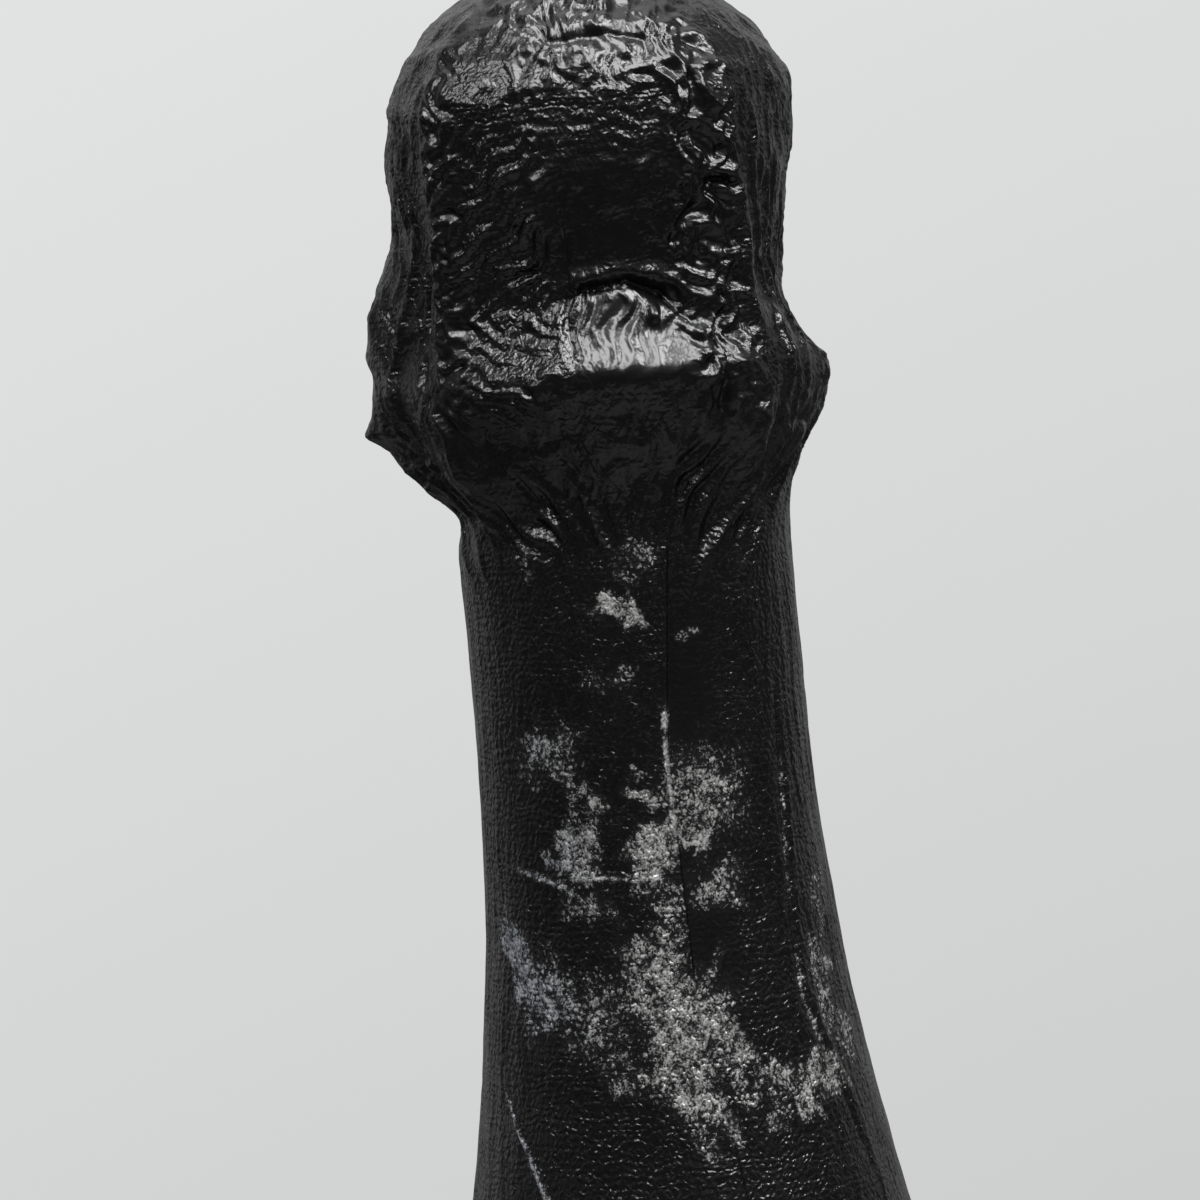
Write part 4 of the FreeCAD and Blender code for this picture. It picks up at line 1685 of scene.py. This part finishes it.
@dataclass
class Label:
    """A paper label glued to the straight side.

    Attributes:
        name: The object's name.
        node: The CAD node that it stands for.
        bearing: Bearing of its middle.
        width: Width along the glass.
        foot: Height of its lower edge.
        height: Its own height.
        band: Lowest and highest place of its dark band, from its middle.
        radius: Radius of the glass.
        paper: Thickness of the paper.
        glue: Thickness of the glue under it.
    """

    name: str
    node: str
    bearing: float
    width: float
    foot: float
    height: float
    band: tuple[float, float]
    radius: float
    paper: float = 0.2
    glue: float = 0.02

    def build(self) -> bpy.types.Object:
        """Builds and dresses the label, a closed band whose edges lift by a hair here and there.

        Returns:
            The object.
        """
        rows, columns = 60, 90
        v = np.linspace(1.0, -1.0, rows)[:, None] * self.height / 2.0
        u = np.linspace(-1.0, 1.0, columns)[None, :] * self.width / 2.0
        u, v = np.broadcast_arrays(u, v)
        inset = np.minimum(self.width / 2.0 - np.abs(u), self.height / 2.0 - np.abs(v))
        turn = math.radians(self.bearing) + u / self.radius
        z = self.foot + self.height / 2.0 + v
        flat = np.stack([u, v, np.zeros_like(u)], -1)
        lift = 0.10 * smooth(5.0, 0.0, inset) * (0.5 + 0.5 * Noise(51).at(flat, 14.0))
        ripple = 0.025 * Noise(52).at(flat, (7.0, 5.0, 1.0))
        back = self.radius + self.glue
        outer = around(turn, back + self.paper + lift + ripple, z)
        inner = around(turn, back + lift * 0.8, z)
        grid = np.concatenate([outer, inner[:, ::-1]], 1)
        place = np.stack([u, v], -1)
        uv = np.concatenate([place, place[:, ::-1], place[:, :1]], 1)
        piece = MeshKit.build(self.name, Sheet(grid, uv))
        self.cap(piece, rows, columns)
        finish = PaperFinish(self.name, self.width / 2.0, self.height / 2.0, self.band)
        dress(piece, finish.make(), Slot.PAPER, self.node)
        return piece

    def cap(self, piece: bpy.types.Object, rows: int, columns: int) -> None:
        """Closes the paper's upper and lower edge with one row of quads each.

        Args:
            piece: The label, open at both ends.
            rows: Rows of its grid.
            columns: Columns of one of its sides.
        """
        mesh = piece.data
        wide = 2 * columns
        near = np.arange(columns - 1)
        upper = np.stack([near, near + 1, wide - 2 - near, wide - 1 - near], 1)
        lower = upper[:, ::-1] + (rows - 1) * wide
        count = len(mesh.polygons)
        corners = np.zeros(len(mesh.loops), np.int32)
        mesh.loops.foreach_get("vertex_index", corners)
        places = np.zeros(len(mesh.loops) * 2, np.float32)
        mesh.uv_layers[0].data.foreach_get("uv", places)
        points = np.zeros(len(mesh.vertices) * 3, np.float32)
        mesh.vertices.foreach_get("co", points)
        faces = corners.reshape(count, 4).tolist() + upper.tolist() + lower.tolist()
        first = np.zeros((len(mesh.vertices), 2), np.float32)
        first[corners] = places.reshape(-1, 2)
        whole = bpy.data.meshes.new(self.name)
        whole.from_pydata(points.reshape(-1, 3), [], faces)
        uv = first[np.array(faces).ravel()]
        uv[: len(corners)] = places.reshape(-1, 2)
        whole.uv_layers.new(name="UVMap").data.foreach_set("uv", uv.ravel())
        whole.polygons.foreach_set("use_smooth", np.arange(len(faces)) < count)
        whole.update()
        piece.data = whole


# ---- studio ---------------------------------------------------------------------------------


@dataclass
class Studio:
    """Floor, pale surroundings, soft lamps and the camera.

    Attributes:
        backdrop: Linear grey that the camera sees behind the bottle.
        grey: Palest linear grey of the floor as reflections see it, over its darkest.
        floor_radius: Radius of the floor, in metres.
        target: Point that the camera looks at, in metres.
        elevation: The camera's angle over the horizon, in degrees.
        distance: From the camera to the target, in metres.
        picture: Height of the picture at the target, in metres.
        roll: Lean of the camera, in degrees.
    """

    backdrop: Colour = colour(0.70, 0.712, 0.705)
    grey: tuple[float, float] = (0.16, 0.03)
    floor_radius: float = 1.0
    target: tuple[float, float, float] = (-0.00265, 0.0, 0.2654)
    elevation: float = 6.0
    distance: float = 0.62
    picture: float = 0.1072
    roll: float = 5.5

    def floor(self) -> None:
        """A matt floor that fades out at its rim: pale to the eye, dim in the foil and glass."""
        radius = np.concatenate([[2.0], np.geomspace(10.0, self.floor_radius / MM, 60)])[:, None]
        turn = np.linspace(0.0, math.tau, 120, endpoint=False)[None, :]
        made = MeshKit.build("floor", Sheet(around(turn, radius, 0.0), poles=((0, 0, 0), None)))
        material = bpy.data.materials.new("floor")
        tree = Tree(material)
        place = tree.place()
        x, y, _ = tree.split(place)
        away = (x * x + y * y) ** 0.5
        cloud = tree.noise(place, 3.0, 3.0)
        pale = tree.principled({
            "Base Color": tree.mix(cloud, colour(0.54, 0.545, 0.54), colour(0.58, 0.585, 0.58)),
            "Roughness": 0.75 + cloud * 0.1,
            "Specular IOR Level": 0.1,
            "Normal": tree.bump(tree.noise(place, 900.0, 3.0), 0.00005),
        })
        shade = tree.noise(place, 2.5, 0.0).step(0.3, 0.8) * self.grey[0] + self.grey[1]
        dim = tree.node("ShaderNodeBsdfDiffuse", {}, {"Color": tree.rgb(shade, shade, shade)})
        mirrored = tree.node("ShaderNodeLightPath", {}, {}).outputs["Is Glossy Ray"]
        clear = tree.node("ShaderNodeBsdfTransparent", {}, {}).outputs[0]
        fade = away.step(0.25 * self.floor_radius, 0.95 * self.floor_radius)
        tree.surface(tree.blend(fade, tree.blend(mirrored, pale, dim.outputs[0]), clear))
        made.data.materials.append(material)

    def surroundings(self) -> None:
        """Pale to the eye and through glass; a dim room with a soft patch overhead otherwise.

        The dim room is what the foil and glass mirror, and it is a weak lamp.  It is paler behind
        the bottle than in front, with wide faint blots.
        """
        world = bpy.data.worlds.new("studio")
        bpy.context.scene.world = world
        tree = Tree(world)
        path = tree.node("ShaderNodeLightPath", {}, {}).outputs
        seen = Shade(tree, path["Is Camera Ray"]).most(Shade(tree, path["Is Transmission Ray"]))
        way = tree.node("ShaderNodeTexCoord", {}, {}).outputs["Generated"]
        x, y, z = tree.split(way)
        # Painted light on the backdrop: lighter towards the top and the left, darker downwards.
        shade = 1.07 + z.least(0.0) * 0.9 + z.most(0.0) * 0.1 - x * 0.3
        pale = tree.rgb(*(shade * part for part in self.backdrop[:3]))
        above = z.step(-0.45, 0.05)
        far = y.step(0.05, 0.97) * above
        blots = tree.noise(way, 2.2, 0.0).step(0.38, 0.8) * above
        overhead = z.step(0.5, 0.9) * (1.0 - x.size().step(0.2, 0.6))
        room = 0.03 + far * (0.26 + blots * 0.34) + blots * 0.15 + overhead * 0.75
        colours = tree.mix(seen, tree.rgb(room, room, room * 1.02), pale)
        back = tree.node("ShaderNodeBackground", {}, {"Color": colours, "Strength": 1.0})
        tree.node("ShaderNodeOutputWorld", {}, {"Surface": back.outputs[0]})

    def lamp(
        self,
        name: str,
        bearing: float,
        height: float,
        reach: float,
        size: tuple[float, float],
        watts: float,
    ) -> None:
        """A soft lamp that faces the bottle's head and isn't seen itself.

        Args:
            name: The lamp's name.
            bearing: Its bearing in degrees.
            height: Its angle over the horizon in degrees.
            reach: Its distance from the bottle's head, in metres.
            size: Its width and height, in metres.
            watts: Its power.
        """
        data = bpy.data.lights.new(name, "AREA")
        data.shape = "RECTANGLE"
        data.size, data.size_y = size
        data.energy = watts
        made = bpy.data.objects.new(name, data)
        b, h = math.radians(bearing), math.radians(height)
        away = Vector((math.sin(b) * math.cos(h), -math.cos(b) * math.cos(h), math.sin(h)))
        made.location = Vector(self.target) + away * reach
        made.rotation_mode = "QUATERNION"
        made.rotation_quaternion = away.to_track_quat("Z", "Y")
        made.visible_camera = False
        bpy.context.scene.collection.objects.link(made)

    def camera(self) -> None:
        """The camera, low in front and leaning to one side."""
        data = bpy.data.cameras.new("camera")
        data.sensor_width = 36.0
        data.lens = data.sensor_width * self.distance / self.picture
        data.clip_start, data.clip_end = 0.02, 50.0
        made = bpy.data.objects.new("camera", data)
        e = math.radians(self.elevation)
        back = Vector((0.0, -math.cos(e), math.sin(e)))
        lean = Matrix.Rotation(math.radians(-self.roll), 3, "Z")
        turn = back.to_track_quat("Z", "Y").to_matrix() @ lean
        place = Vector(self.target) + back * self.distance
        made.matrix_world = Matrix.LocRotScale(place, turn, None)
        bpy.context.scene.collection.objects.link(made)
        bpy.context.scene.camera = made

    def build(self) -> None:
        """Sets up the whole studio."""
        self.floor()
        self.surroundings()
        for lamp in (
            ("key", 12.0, 67.0, 1.0, (0.38, 1.0), 9.8),
            ("left", -62.0, 47.0, 1.1, (0.34, 0.46), 2.8),
            ("right", 64.0, 47.0, 1.1, (0.36, 0.50), 7.5),
        ):
            self.lamp(*lamp)
        self.camera()
        bpy.context.scene.view_settings.view_transform = "Standard"


def corners(box: Sequence[Vector]) -> list[list[float]]:
    """A box's two corners as plain numbers."""
    return [[float(c) for c in corner] for corner in box]


def main() -> None:
    """Builds every piece over the frame, then the studio.

    dress reports each piece to the log as it is finished.
    """
    logging.basicConfig(level=logging.INFO, format="%(message)s")
    _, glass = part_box("glass_bottle")
    low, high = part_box("foil_capsule")
    outline = Outline(body=round(glass.x / MM, 2), mouth=round(glass.z / MM, 2))
    GlassBottle(outline).build()
    Foil(outline, crown=round(high.z / MM, 2), foot=round(low.z / MM, 2)).build()
    for name, bearing, width, stripe in (
        ("front_label", 0.0, 92.0, (-20.0, -4.0)),
        ("back_label", 180.0, 56.0, (-12.0, -6.0)),
    ):
        low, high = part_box(name)
        height = (high.z - low.z) / MM
        paper = f"{name}_paper"
        Label(paper, name, bearing, width, low.z / MM, height, stripe, outline.body).build()
    Studio().build()


if __name__ == "__main__":
    main()
